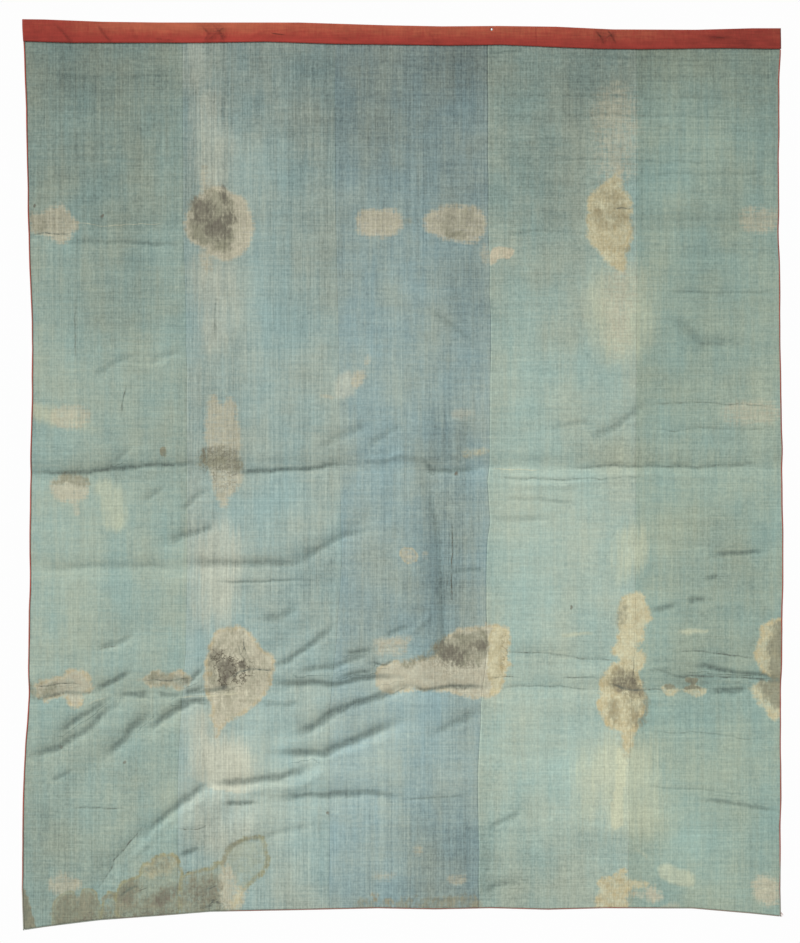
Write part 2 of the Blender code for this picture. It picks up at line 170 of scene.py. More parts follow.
# Sharper wrinkles on top of the folds: half width, rise, how much painted shade darkens
# the trough, how strong the dark line along it is, of dirt and painted shade, below zero for
# a pale line, rubbed and a painted highlight, and the route
Wrinkle = namedtuple("Wrinkle", "half_width rise shade line route")
WRINKLES = [Wrinkle(*row) for row in (
    (9, 0.6, 0, 0, ((-875, 245), (-560, 250), (-190, 255))),
    (5, -1.5, 0.4, 0.42, ((-976, 548), (-938, 542), (-874, 544))),
    (10, -2.5, 0.6, 0, ((-885, 570), (-820, 565), (-710, 570), (-655, 575), (-575, 575))),
    (3, 0.6, 0, -0.7, ((-888, 518), (-768, 524), (-624, 520))),
    (5, -0.8, 0.3, 0.35, ((-858, 726), (-854, 868))),
    (6, -0.8, 0.3, 0.14, ((-490, 720), (-495, 830))),
    (12, -1.5, 0.34, 0, ((-815, 925), (-765, 885), (-700, 865))),
    (5, -0.8, 0.3, 0.3, ((-722, 945), (-733, 985), (-736, 1014))),
    (12, -1.5, 0.28, 0, ((-665, 885), (-615, 860), (-570, 850))),
    (6, 1, 0, 0, ((-660, 905), (-605, 880), (-570, 875))),
    (13, -2, 0.35, 0, ((-765, 1150), (-710, 1100))),
    (15, -2.5, 0.3, 0, ((-220, 1105), (-150, 1070), (-95, 1045))),
    (15, -2.5, 0.28, 0, ((-95, 1105), (-45, 1070), (0, 1045))),
    (6, -1.8, 0.6, 0.14, ((230, 70), (315, 70))),
    (8, 1.6, 0, 0, ((735, 85), (800, 95), (865, 85))),
    (8, 1.6, 0, 0, ((255, 310), (335, 305), (460, 285))),
    (4, -0.8, 0.2, 0.63, ((558, 482), (598, 482))),
    (13, -2, 0.35, 0, ((390, 1055), (495, 1035))),
    (15, -3, 0.45, 0, ((500, 1080), (560, 1055), (630, 1000))),
    (5, -1, 0.25, 0.2, ((628, 996), (760, 990), (880, 994), (985, 1004))),
    (5, -1, 0.25, 0.14, ((652, 1062), (800, 1058), (985, 1062))),
    (12, -2, 0.3, 0, ((75, 745), (130, 785), (180, 830))),
    (22, -2.5, 0.35, 0, ((710, 760), (785, 830), (875, 828))),
    (11, -3, 0.8, 0.2, ((-980, 1175), (-795, 1170), (-665, 1150), (-530, 1150))),
    (11, -3.5, 0.9, 0.15, ((-445, 1170), (-320, 1165), (-150, 1155))),
    (9, 3.5, 0, 0, ((-125, 1145), (-5, 1130), (60, 1140))),
    (11, -3.5, 0.7, 0, ((60, 1145), (80, 1170), (205, 1160))),
    (6, -2, 0.3, 0.16, ((232, 1188), (416, 1192), (626, 1186))),
    (8, -3, 0.55, 0.16, ((415, 1160), (625, 1155), (975, 1155))),
    (9, 2.5, 0, 0, ((235, 1205), (415, 1210), (625, 1180), (975, 1180))),
    (5, 1, 0, -0.6, ((234, 1166), (298, 1166), (362, 1168))),
    (9, -1.8, 0.3, 0, ((270, 1240), (365, 1245), (455, 1255))),
    (13, -2, 0.4, 0, ((-675, 1245), (-625, 1215))),
    (13, -2, 0.45, 0, ((-585, 1275), (-505, 1210))),
    (14, -3.5, 0.55, 0, ((-615, 1355), (-550, 1330), (-490, 1310))),
    (11, -2, 0.25, 0, ((-940, 1425), (-770, 1420), (-560, 1420))),
    (15, -4, 0.5, 0, ((-560, 1410), (-400, 1415), (-270, 1405))),
    (14, -3, 0.5, 0, ((-270, 1405), (-205, 1365), (-145, 1330), (-90, 1320))),
    (6, -2, 0.6, 0.07, ((-490, 1460), (-375, 1460), (-270, 1450))),
    (10, -2, 0.5, 0, ((125, 1430), (220, 1430))),
    (13, -2.5, 0.34, 0, ((70, 1190), (90, 1350), (105, 1510), (110, 1615), (110, 1660))),
    (5, -0.8, 0.3, 0.9, ((129, 1312), (128, 1400), (131, 1502))),
    (13, -2.5, 0.5, 0, ((-45, 1605), (-15, 1585), (20, 1575))),
    (9, 2.5, 0, 0, ((10, 1600), (40, 1580), (75, 1545))),
    (10, -2.5, 0.7, 0, ((-150, 1645), (-110, 1640), (-75, 1640))),
    (4, -0.6, 0.1, 0.28, ((-72, 1636), (18, 1630), (56, 1628))),
    (6, -2, 0.8, 0.21, ((-75, 1670), (-45, 1675), (-25, 1665))),
    (10, -2.5, 0.8, 0, ((-165, 1705), (-110, 1695), (-80, 1690))),
    (13, -3.5, 0.9, 0, ((-135, 1795), (-85, 1775), (-45, 1760), (-15, 1750), (20, 1735))),
    (10, -3, 0.9, 0.15, ((20, 1735), (75, 1740), (120, 1735), (160, 1735), (215, 1735))),
    (4, -1, 0.1, 0.49, ((236, 1712), (266, 1710), (310, 1712))),
    (5, -1.5, 0.4, 0.21, ((258, 1736), (416, 1738), (516, 1746))),
    (13, -1.8, 0.22, 0, ((230, 1295), (395, 1295))),
    (11, -2.2, 0.9, 0, ((820, 1390), (875, 1385), (950, 1380))),
    (11, -2, 0.7, 0, ((795, 1450), (825, 1450))),
    (13, -2.5, 0.7, 0, ((660, 1530), (720, 1525))),
    (13, -2.5, 0.7, 0, ((750, 1510), (800, 1510))),
    (5, -1, 0.2, 0.42, ((-794, 1636), (-746, 1628))),
    (11, -2, 0.5, 0, ((-795, 1635), (-745, 1620), (-710, 1595))),
    (5, -1.5, 0.3, 0.42, ((-958, 1730), (-916, 1734), (-884, 1728), (-844, 1730))),
    (10, -2.5, 0.6, 0.25, (
        (-980, 1760), (-950, 1765), (-930, 1760), (-880, 1755), (-835, 1755), (-800, 1750),
    )),
    (13, -3.5, 0.9, 0, (
        (-800, 1750), (-790, 1735), (-770, 1725), (-745, 1715), (-730, 1705), (-715, 1695),
    )),
    (11, -3, 0.9, 0, ((-745, 1760), (-700, 1760), (-690, 1760), (-660, 1755))),
    (10, -2.5, 0.7, 0, ((-645, 1755), (-580, 1755))),
    (11, -3, 0.8, 0, ((-575, 1755), (-530, 1745), (-490, 1745), (-450, 1740))),
    (5, 1.6, 0, -0.3, ((-824, 1784), (-794, 1770), (-768, 1760))),
    (5, -1.5, 0.3, 0.49, ((-678, 1722), (-612, 1720), (-584, 1712), (-554, 1710))),
    (11, -3, 0.8, 0, ((-575, 1725), (-550, 1710), (-530, 1685))),
    (13, -3, 0.8, 0, ((-570, 1750), (-525, 1740))),
    (10, -2.5, 0.7, 0, ((-595, 1775), (-560, 1775), (-505, 1780))),
    (4, 1.5, 0, -0.6, ((-594, 1762), (-516, 1760), (-410, 1756))),
    (4, -1, 0.2, 0.49, ((-418, 1580), (-416, 1630), (-402, 1670))),
    (4, -1, 0.2, 0.42, ((-432, 1626), (-426, 1650), (-412, 1672))),
    (5, -1.5, 0.5, 0.49, ((-448, 1714), (-426, 1698), (-394, 1692), (-342, 1696))),
    (14, -4, 0.8, 0, ((-340, 1685), (-300, 1670), (-270, 1645), (-230, 1615), (-185, 1575))),
    (14, -4, 0.9, 0, ((-345, 1725), (-270, 1730), (-165, 1725), (-70, 1710), (-5, 1710))),
    (13, -2, 0.4, 0, ((-370, 1780), (-315, 1785), (-265, 1775))),
    (17, -2.5, 0.5, 0, ((-370, 1555), (-320, 1550), (-275, 1520))),
    (13, -3, 0.7, 0, ((-270, 1700), (-175, 1675), (-80, 1640))),
    (11, -2.5, 0.7, 0, (
        (-900, 1850), (-885, 1840), (-860, 1825), (-835, 1810), (-805, 1795), (-770, 1770),
    )),
    (14, -3.5, 0.8, 0, (
        (-975, 1920), (-915, 1900), (-860, 1865), (-835, 1850), (-805, 1830), (-780, 1805),
        (-750, 1785),
    )),
    (15, -4, 0.8, 0, (
        (-780, 1915), (-755, 1895), (-725, 1875), (-710, 1845), (-695, 1830), (-675, 1810),
    )),
    (15, -4.5, 0.9, 0, (
        (-675, 1845), (-645, 1825), (-615, 1810), (-580, 1790), (-555, 1775), (-500, 1770),
    )),
    (10, -2, 0.5, 0, ((-915, 1980), (-865, 1950))),
    (5, -2, 0.3, 0.56, (
        (-802, 2260), (-778, 2230), (-762, 2198), (-732, 2164), (-704, 2132), (-682, 2106),
    )),
    (14, -4, 0.8, 0, ((-675, 2120), (-630, 2085), (-570, 2030), (-500, 1985))),
    (15, -4.5, 0.9, 0, ((-500, 1985), (-440, 1985), (-320, 1975), (-240, 1945))),
    (17, -5, 0.9, 0, ((-335, 1910), (-205, 1910), (-135, 1875), (-5, 1825))),
    (17, -4.5, 0.9, 0, ((-290, 1865), (-165, 1800), (-5, 1745))),
    (10, -3, 0.8, 0.3, ((-465, 2040), (-385, 2035))),
    (5, -1, 0.2, 0.42, ((-592, 2110), (-562, 2110), (-534, 2106), (-508, 2094))),
    (5, 1, 0, -0.5, ((-514, 1762), (-460, 1757), (-411, 1754))),
    (5, -1, 0.3, 0.8, ((-518, 2268), (-505, 2262), (-489, 2252))),
    (5, -1, 0.3, 0.8, ((-504, 2291), (-489, 2294), (-470, 2305))),
    (5, -1, 0.3, 0.7, ((-531, 2318), (-512, 2313), (-500, 2307))),
    (4, -0.8, 0.2, 0.7, ((-829, 2333), (-808, 2328))),
    (4, -0.8, 0.2, 0.7, ((-913, 2355), (-880, 2358), (-855, 2361))),
    (4, -0.8, 0.2, 0.6, ((-681, 2327), (-655, 2325))),
    (4, -0.8, 0.2, 0.6, ((-735, 2333), (-728, 2326))),
    (4, -0.8, 0.2, 0.6, ((-691, 2274), (-672, 2267))),
    (13, -3, 0.8, 0, ((-335, 2025), (-215, 2020), (-95, 2010), (-5, 2020))),
    (11, -2.5, 0.8, 0, ((-585, 2180), (-530, 2160))),
    (11, -2.5, 0.25, 0, ((-490, 2170), (-375, 2135), (-315, 2115), (-235, 2100))),
    (6, -1.5, 0.4, 0.28, ((-860, 2055), (-800, 2050), (-735, 2050))),
    (10, 3, 0, 0, ((-740, 2215), (-625, 2105), (-490, 2010))),
    (12, 3, 0, 0, ((-440, 2010), (-270, 1995), (-190, 1950))),
    (13, 3, 0, 0, ((-270, 1940), (-135, 1905), (-5, 1860))),
    (4, -1, 0.3, 0.56, ((-534, 2318), (-512, 2310), (-492, 2288))),
    (4, -1, 0.3, 0.56, ((-494, 2298), (-466, 2306))),
    (4, -0.8, 0.1, 0.49, ((-508, 2262), (-490, 2252))),
    (5, -1, 0.3, 0.35, ((-574, 2228), (-552, 2222))),
    (6, -1.5, 0.6, 0.14, ((-740, 2290), (-710, 2270), (-690, 2260))),
    (17, -3, 0.5, 0, ((85, 1855), (140, 1830), (200, 1800))),
    (5, -1.2, 0.4, 0.21, ((-6, 2028), (74, 2026), (168, 2022))),
    (11, -1.8, 0.5, 0, ((230, 2110), (310, 2060))),
    (8, 1.8, 0, 0, ((340, 2110), (365, 2155), (390, 2195))),
    (13, -2, 0.5, 0, ((205, 2280), (250, 2255), (310, 2240))),
    (10, -2, 0.6, 0, ((785, 2030), (875, 2040), (985, 2060))),
    (5, -1.2, 0.3, 0, ((626, 1998), (784, 2004), (916, 2020))),
    (11, -3.5, 0.9, 0.15, ((760, 1685), (820, 1685), (880, 1700), (950, 1705), (990, 1720))),
    (6, -2, 0.6, 0.35, ((665, 1685), (720, 1710), (825, 1710), (900, 1715), (990, 1725))),
    (13, -3, 0.9, 0, ((815, 1750), (855, 1750), (910, 1745))),
    (5, -1.5, 0.4, 0.42, ((712, 1642), (766, 1642), (802, 1646), (918, 1662))),
    (6, 2, 0, 0, ((635, 1685), (675, 1680), (710, 1685))),
    (6, 2, 0, 0, ((755, 1710), (865, 1720), (980, 1740))),
    (5, -1.5, 0.4, 0.56, ((548, 1730), (576, 1738), (608, 1746), (642, 1746), (690, 1746))),
    (4, -0.8, 0.2, 0.7, ((604, 1656), (604, 1702))),
    (5, -1.5, 0.3, 0.28, ((258, 1644), (416, 1652), (578, 1670))),
    (5, -1, 0.3, 0.28, ((416, 1712), (500, 1710), (516, 1720))),
    (4, -0.8, 0.3, 0.14, ((652, 1854), (784, 1856), (942, 1870))),
    (6, -1, 0.3, 0, ((260, 190), (520, 185), (890, 195))),
    (6, -1, 0.3, 0, ((310, 240), (625, 235), (915, 240))),
    (6, -1, 0.3, 0, ((310, 360), (575, 350), (890, 360))),
    (7, -1.2, 0.3, 0, ((625, 385), (785, 390), (970, 385))),
    (6, -1, 0.3, 0, ((680, 695), (835, 700), (975, 695))),
    (6, -1, 0.3, 0, ((260, 545), (415, 540), (520, 545))),
    (7, -1, 0.3, 0, ((-950, 130), (-770, 140), (-585, 130))),
    (7, 1.2, 0, 0, ((-740, 145), (-665, 115), (-585, 105))),
    (8, -1.5, 0.3, 0, ((335, 80), (625, 85), (785, 90))),
)]

# The lip that each wrinkle raises beside it, the share of its route over which it fades
# out at either end, and how strong it still is there. Its relief reaches so many half
# widths to each side, and its shade and its line have faded out a little nearer.
WRINKLE_LIP = 0.35
WRINKLE_TAPER, WRINKLE_ENDS = 0.2, 0.25
CREASE_REACH, CREASE_FADED = 3.0, 2.0

# The mount holds the top still, and the folds come to their full depth this far down
FREE_BELOW = 420.0 * MM
HELD_SHARE = 0.35

# Unevenness, in patches: their size in millimetres, how strong they are, and the seed of
# their random draw. The cockles lie all over the cloth and deepen towards the hem. The
# straying moves what is drawn on the cloth, in millimetres.
Patches = namedtuple("Patches", "wide tall strength seed")
COCKLES = (Patches(210, 60, 1.3, 11), Patches(70, 22, 0.5, 12), Patches(24, 60, 0.25, 13))
COCKLES_AT_TOP, COCKLES_FULL_BELOW = 0.5, 2.0
SEAM_WAVER = Patches(50, 70, 1.2, 20)
THIRD_SEAM = 3
WRINKLE_UNEVEN = Patches(45, 45, 0.35, 35)
STRAY_ACROSS = (Patches(60, 60, 5, 31), Patches(18, 18, 2, 32))
STRAY_UP = (Patches(60, 60, 5, 33), Patches(18, 18, 2, 34))
LATTICE = 256


def soft_step(values):
    """Values from 0 to 1, eased at both ends."""
    values = np.clip(values, 0, 1)
    return values * values * (3 - 2 * values)


def cloth_noise(x, z, patches):
    """Smooth unevenness at the points, from -1 to 1."""
    lattice = np.random.default_rng(patches.seed).uniform(-1, 1, (LATTICE, LATTICE))
    x, z = x / (patches.wide * MM), z / (patches.tall * MM)
    column, row = np.floor(x), np.floor(z)
    across, up = soft_step(x - column), soft_step(z - row)
    column, row = column.astype(int) % LATTICE, row.astype(int) % LATTICE
    next_column, next_row = (column + 1) % LATTICE, (row + 1) % LATTICE
    low = lattice[row, column] * (1 - across) + lattice[row, next_column] * across
    high = lattice[next_row, column] * (1 - across) + lattice[next_row, next_column] * across
    return low * (1 - up) + high * up


def strayed(x, z, rows):
    """How far unevenness moves the points, in metres, its rows added up."""
    return sum(row.strength * MM * cloth_noise(x, z, row) for row in rows)


def seam_lines(z):
    """How far across the side edges and the seams lie at the heights z."""
    lines = []
    for number, places in enumerate(SECTION_TABLE[:, 1:].T):
        waver = SEAM_WAVER._replace(seed=SEAM_WAVER.seed + number)
        line = np.interp(-z, SECTION_TABLE[:, 0], places)
        lines.append(line + strayed(np.zeros(len(z)), z, (waver,)))
    lines[THIRD_SEAM] += np.interp(-z, WAVER_TABLE[:, 0], WAVER_TABLE[:, 1])
    return np.array(lines)


def across_at(place, shift, z):
    """How far across a place, counted in loom widths, lies at the heights z."""
    lines = seam_lines(z)
    width = np.minimum(place.astype(int), WIDTHS - 1)
    share = place - width
    every = np.arange(len(z))
    return lines[width, every] * (1 - share) + lines[width + 1, every] * share + shift


def height_at(share, shift, x):
    """The height of a place that lies a share of the way down the cloth."""
    top = np.interp(x, EDGE_TABLE[:, 0], EDGE_TABLE[:, 1])
    hem = np.interp(x, EDGE_TABLE[:, 0], EDGE_TABLE[:, 2])
    return top + (hem - top) * share + shift


def crossing(across, down):
    """Where lines across and lines down meet, each given by its place and its shift."""
    middle = np.full(len(across), MIDDLE_Z)
    z = height_at(down[:, 0], down[:, 1], across_at(across[:, 0], across[:, 1], middle))
    return across_at(across[:, 0], across[:, 1], z), z


def near_route(x, z, route, reach):
    """Numbers of the points that lie within reach of a route's box."""
    points = np.array(route) * (MM, -MM)
    low, high = points.min(axis=0) - reach, points.max(axis=0) + reach
    return np.flatnonzero((x > low[0]) & (x < high[0]) & (z > low[1]) & (z < high[1]))


def route_offset(x, z, route):
    """Distance from a route, below zero on its right-hand side, and the share of the way
    along it where each point is nearest."""
    points = np.array(route) * (MM, -MM)
    steps = np.diff(points, axis=0)
    lengths = np.hypot(steps[:, 0], steps[:, 1])
    walked = np.concatenate(([0], np.cumsum(lengths)))
    nearest = np.full(len(x), np.inf)
    side = np.ones(len(x))
    share = np.zeros(len(x))
    for start, step, length, before in zip(points, steps, lengths, walked):
        aside, above = x - start[0], z - start[1]
        along = np.clip((aside * step[0] + above * step[1]) / length**2, 0, 1)
        distance = np.hypot(aside - along * step[0], above - along * step[1])
        closer = distance < nearest
        nearest = np.where(closer, distance, nearest)
        side = np.where(closer, np.where(step[0] * above < step[1] * aside, -1, 1), side)
        share = np.where(closer, (before + along * length) / walked[-1], share)
    return nearest * side, share


def in_oval(x, z, oval):
    """How near the middle of an oval each point lies: 1 there, and ever less further out."""
    aside = (x - oval.across * MM) / (oval.half_width * MM)
    below = (z + oval.drop * MM) / (oval.half_height * MM)
    return np.exp(-(aside**2) - below**2)


def wrinkle_strength(share):
    """How strong a wrinkle is along its route: it fades out at both ends."""
    inner = soft_step(np.minimum(share, 1 - share) / WRINKLE_TAPER)
    return WRINKLE_ENDS + (1 - WRINKLE_ENDS) * inner


def wandering(x, z):
    """The points moved a little, so that what is drawn there has no straight edge."""
    return x + strayed(x, z, STRAY_ACROSS), z + strayed(x, z, STRAY_UP)


def relief(x, z, bridged=0.0):
    """How far the hanging cloth stands towards the viewer at (x, z). A cloth at the back
    bridges the fine troughs, so bridged widens them for it, in millimetres."""
    place = np.zeros(len(x))
    x = np.clip(x, across_at(place, RIM, z), across_at(place + WIDTHS, -RIM, z))
    z = np.clip(z, height_at(place + 1, RIM, x), height_at(place, -RIM, x))
    rise = np.zeros(len(x))
    for swell in SWELLS:
        rise += swell.rise * MM * in_oval(x, z, swell)
    for fold in FOLDS:
        offset, _ = route_offset(x, z, fold.route)
        rise += fold.rise * MM * np.exp(-((offset / (fold.half_width * MM)) ** 2))
    fine_x, fine_z = wandering(x, z)
    uneven = 1 + WRINKLE_UNEVEN.strength * cloth_noise(x, z, WRINKLE_UNEVEN)
    for wrinkle in WRINKLES:
        half = (wrinkle.half_width + (bridged if wrinkle.rise < 0 else 0)) * MM
        near = near_route(fine_x, fine_z, wrinkle.route, CREASE_REACH * half)
        offset, share = route_offset(fine_x[near], fine_z[near], wrinkle.route)
        away = (offset / half) ** 2
        shape = np.exp(-away) * (1 - WRINKLE_LIP * away)
        rise[near] += wrinkle.rise * MM * shape * wrinkle_strength(share) * uneven[near]
    deeper = COCKLES_AT_TOP + (1 - COCKLES_AT_TOP) * np.clip(-z / COCKLES_FULL_BELOW, 0, 1)
    for cockle in COCKLES:
        rise += cockle.strength * MM * deeper * cloth_noise(x, z, cockle)
    return rise * (HELD_SHARE + (1 - HELD_SHARE) * soft_step(-z / FREE_BELOW))


def finished_piece(name, bm):
    """Makes a piece of a bmesh."""
    mesh = bpy.data.meshes.new(name)
    bm.to_mesh(mesh)
    bm.free()
    piece = bpy.data.objects.new(name, mesh)
    bpy.context.scene.collection.objects.link(piece)
    return piece


def points_of(piece):
    """The piece's points as arrays of x, y and z."""
    flat = np.empty(len(piece.data.vertices) * 3)
    piece.data.vertices.foreach_get("co", flat)
    return flat.reshape(-1, 3).T


def woven_piece(name, across, down, place):
    """A piece of cloth: a grid with a column for each entry of across and a row for each
    of down, from the top. place gives every point from its two entries."""
    columns, rows = len(across) - 1, len(down) - 1
    bm = bmesh.new()
    bmesh.ops.create_grid(bm, x_segments=columns, y_segments=rows, size=1)
    piece = finished_piece(name, bm)
    right, up, _ = points_of(piece)
    column = np.rint((right + 1) / 2 * columns).astype(int)
    row = np.rint((1 - up) / 2 * rows).astype(int)
    points = place(np.array(across)[column], np.array(down)[row])
    piece.data.vertices.foreach_set("co", np.stack(points, axis=1).ravel())
    piece.data.update()
    piece.data.shade_smooth()
    return piece


def give_thickness(piece, thick):
    """Thickens a piece from its outer side inwards."""
    solidify = piece.modifiers.new("cloth thickness", "SOLIDIFY")
    solidify.thickness = thick
    solidify.offset = -1
    solidify.use_even_offset = False


def keep_values(piece, name, values):
    """Stores a value for each point, which the piece's material reads."""
    attribute = piece.data.attributes.new(name, "FLOAT", "POINT")
    attribute.data.foreach_set("value", values.astype(np.float32))


def spread(start, end, spacing):
    """Evenly spaced places from start to end, about spacing apart, without the last."""
    count = max(1, round(abs(end - start) / spacing))
    return [start + (end - start) * step / count for step in range(count)]


# How far apart the points of the lining's mesh are, and those near a seam, and the drops
# between which its rows are even. Each loom width is measured at one section.
WARP_SPACING = 6.6
WEFT_SPACING_UPPER, WEFT_SPACING_LOWER = 5.4, 4.3
FINER_BELOW = 1080
LINING_ROWS_FROM, LINING_ROWS_TO = 11, CLOTH_TALL - 9
SEAM_COLUMNS = (1.5, 3.0, 5.5)
SEAM_GAP = 0.04 * MM
WIDTH_SECTION = SECTIONS[5]


def width_columns(width):
    """Columns across one loom width, as places in loom widths and shifts in metres."""
    wide = WIDTH_SECTION[width + 2] - WIDTH_SECTION[width + 1]
    first = CLOTH_ENDS if width == 0 else SEAM_GAP / 2
    last = -CLOTH_ENDS if width == WIDTHS - 1 else -SEAM_GAP / 2
    columns = [(width, first)]
    columns += [(width, first + shift * MM) for shift in SEAM_COLUMNS]
    margin = (SEAM_COLUMNS[-1] + WARP_SPACING) / wide
    columns += [(width + share, 0) for share in spread(margin, 1 - margin, WARP_SPACING / wide)]
    columns.append((width + 1 - margin, 0))
    columns += [(width + 1, last - shift * MM) for shift in reversed(SEAM_COLUMNS)]
    columns.append((width + 1, last))
    return columns


def rows_down(top_shifts, drops, hem_shifts):
    """Rows down a cloth, as shares of the way down and shifts in metres: those set from
    the top edge, those at drops in millimetres, and those set from the hem."""
    rows = [(0, shift) for shift in top_shifts]
    rows += [(drop / CLOTH_TALL, 0) for drop in drops]
    return rows + [(1, shift) for shift in hem_shifts]


# At each seam the right-hand width is turned under and lies a little proud. Across it, in
# lap widths, the lap is highest at its crest, and the left-hand width dips beside it. The
# shade darkens the left-hand width beside it as painted shade, and the shine lightens the
# lap as a painted highlight.
Seam = namedtuple("Seam", "number lap shade shine")
SEAMS = (
    Seam(1, 0.12, 0.03, 0.02),
    Seam(2, 0.12, 0.02, 0.01),
    Seam(3, 0.50, 0.10, 0.10),
    Seam(4, 0.12, 0.03, 0.02),
)
LAP_WIDE = 4.5 * MM
LAP_CREST, LAP_STEEP = 0.7, 3
DIP_DEPTH, DIP_STEEP = 0.5, 2


def lining_place(across, down):
    """Places the outer side of the lining, with its seams lapped."""
    x, z = crossing(across, down)
    lines = seam_lines(z)
    lap = np.zeros(len(x))
    for seam in SEAMS:
        aside = (x - lines[seam.number]) / LAP_WIDE
        right = np.where(aside > 0, np.exp(-((aside - LAP_CREST) ** 2) * LAP_STEEP), 0)
        left = np.where(aside <= 0, -DIP_DEPTH * np.exp(-(aside**2) * DIP_STEEP), 0)
        lap += seam.lap * MM * (right + left)
    return x, -relief(x, z) - LINING_FRONT - lap, z


# How pale the cloth is at each drop, darker towards the top: share of its full paleness
Fade = namedtuple("Fade", "drop share")
PALENESS_DOWN = (
    Fade(0, 0.58),
    Fade(60, 0.605),
    Fade(140, 0.64),
    Fade(290, 0.735),
    Fade(510, 0.82),
    Fade(730, 0.90),
    Fade(960, 0.955),
    Fade(1100, 0.94),
    Fade(1160, 0.975),
    Fade(1250, 1.00),
    Fade(1960, 1.00),
    Fade(2060, 0.98),
    Fade(2250, 0.93),
    Fade(2380, 0.87),
)
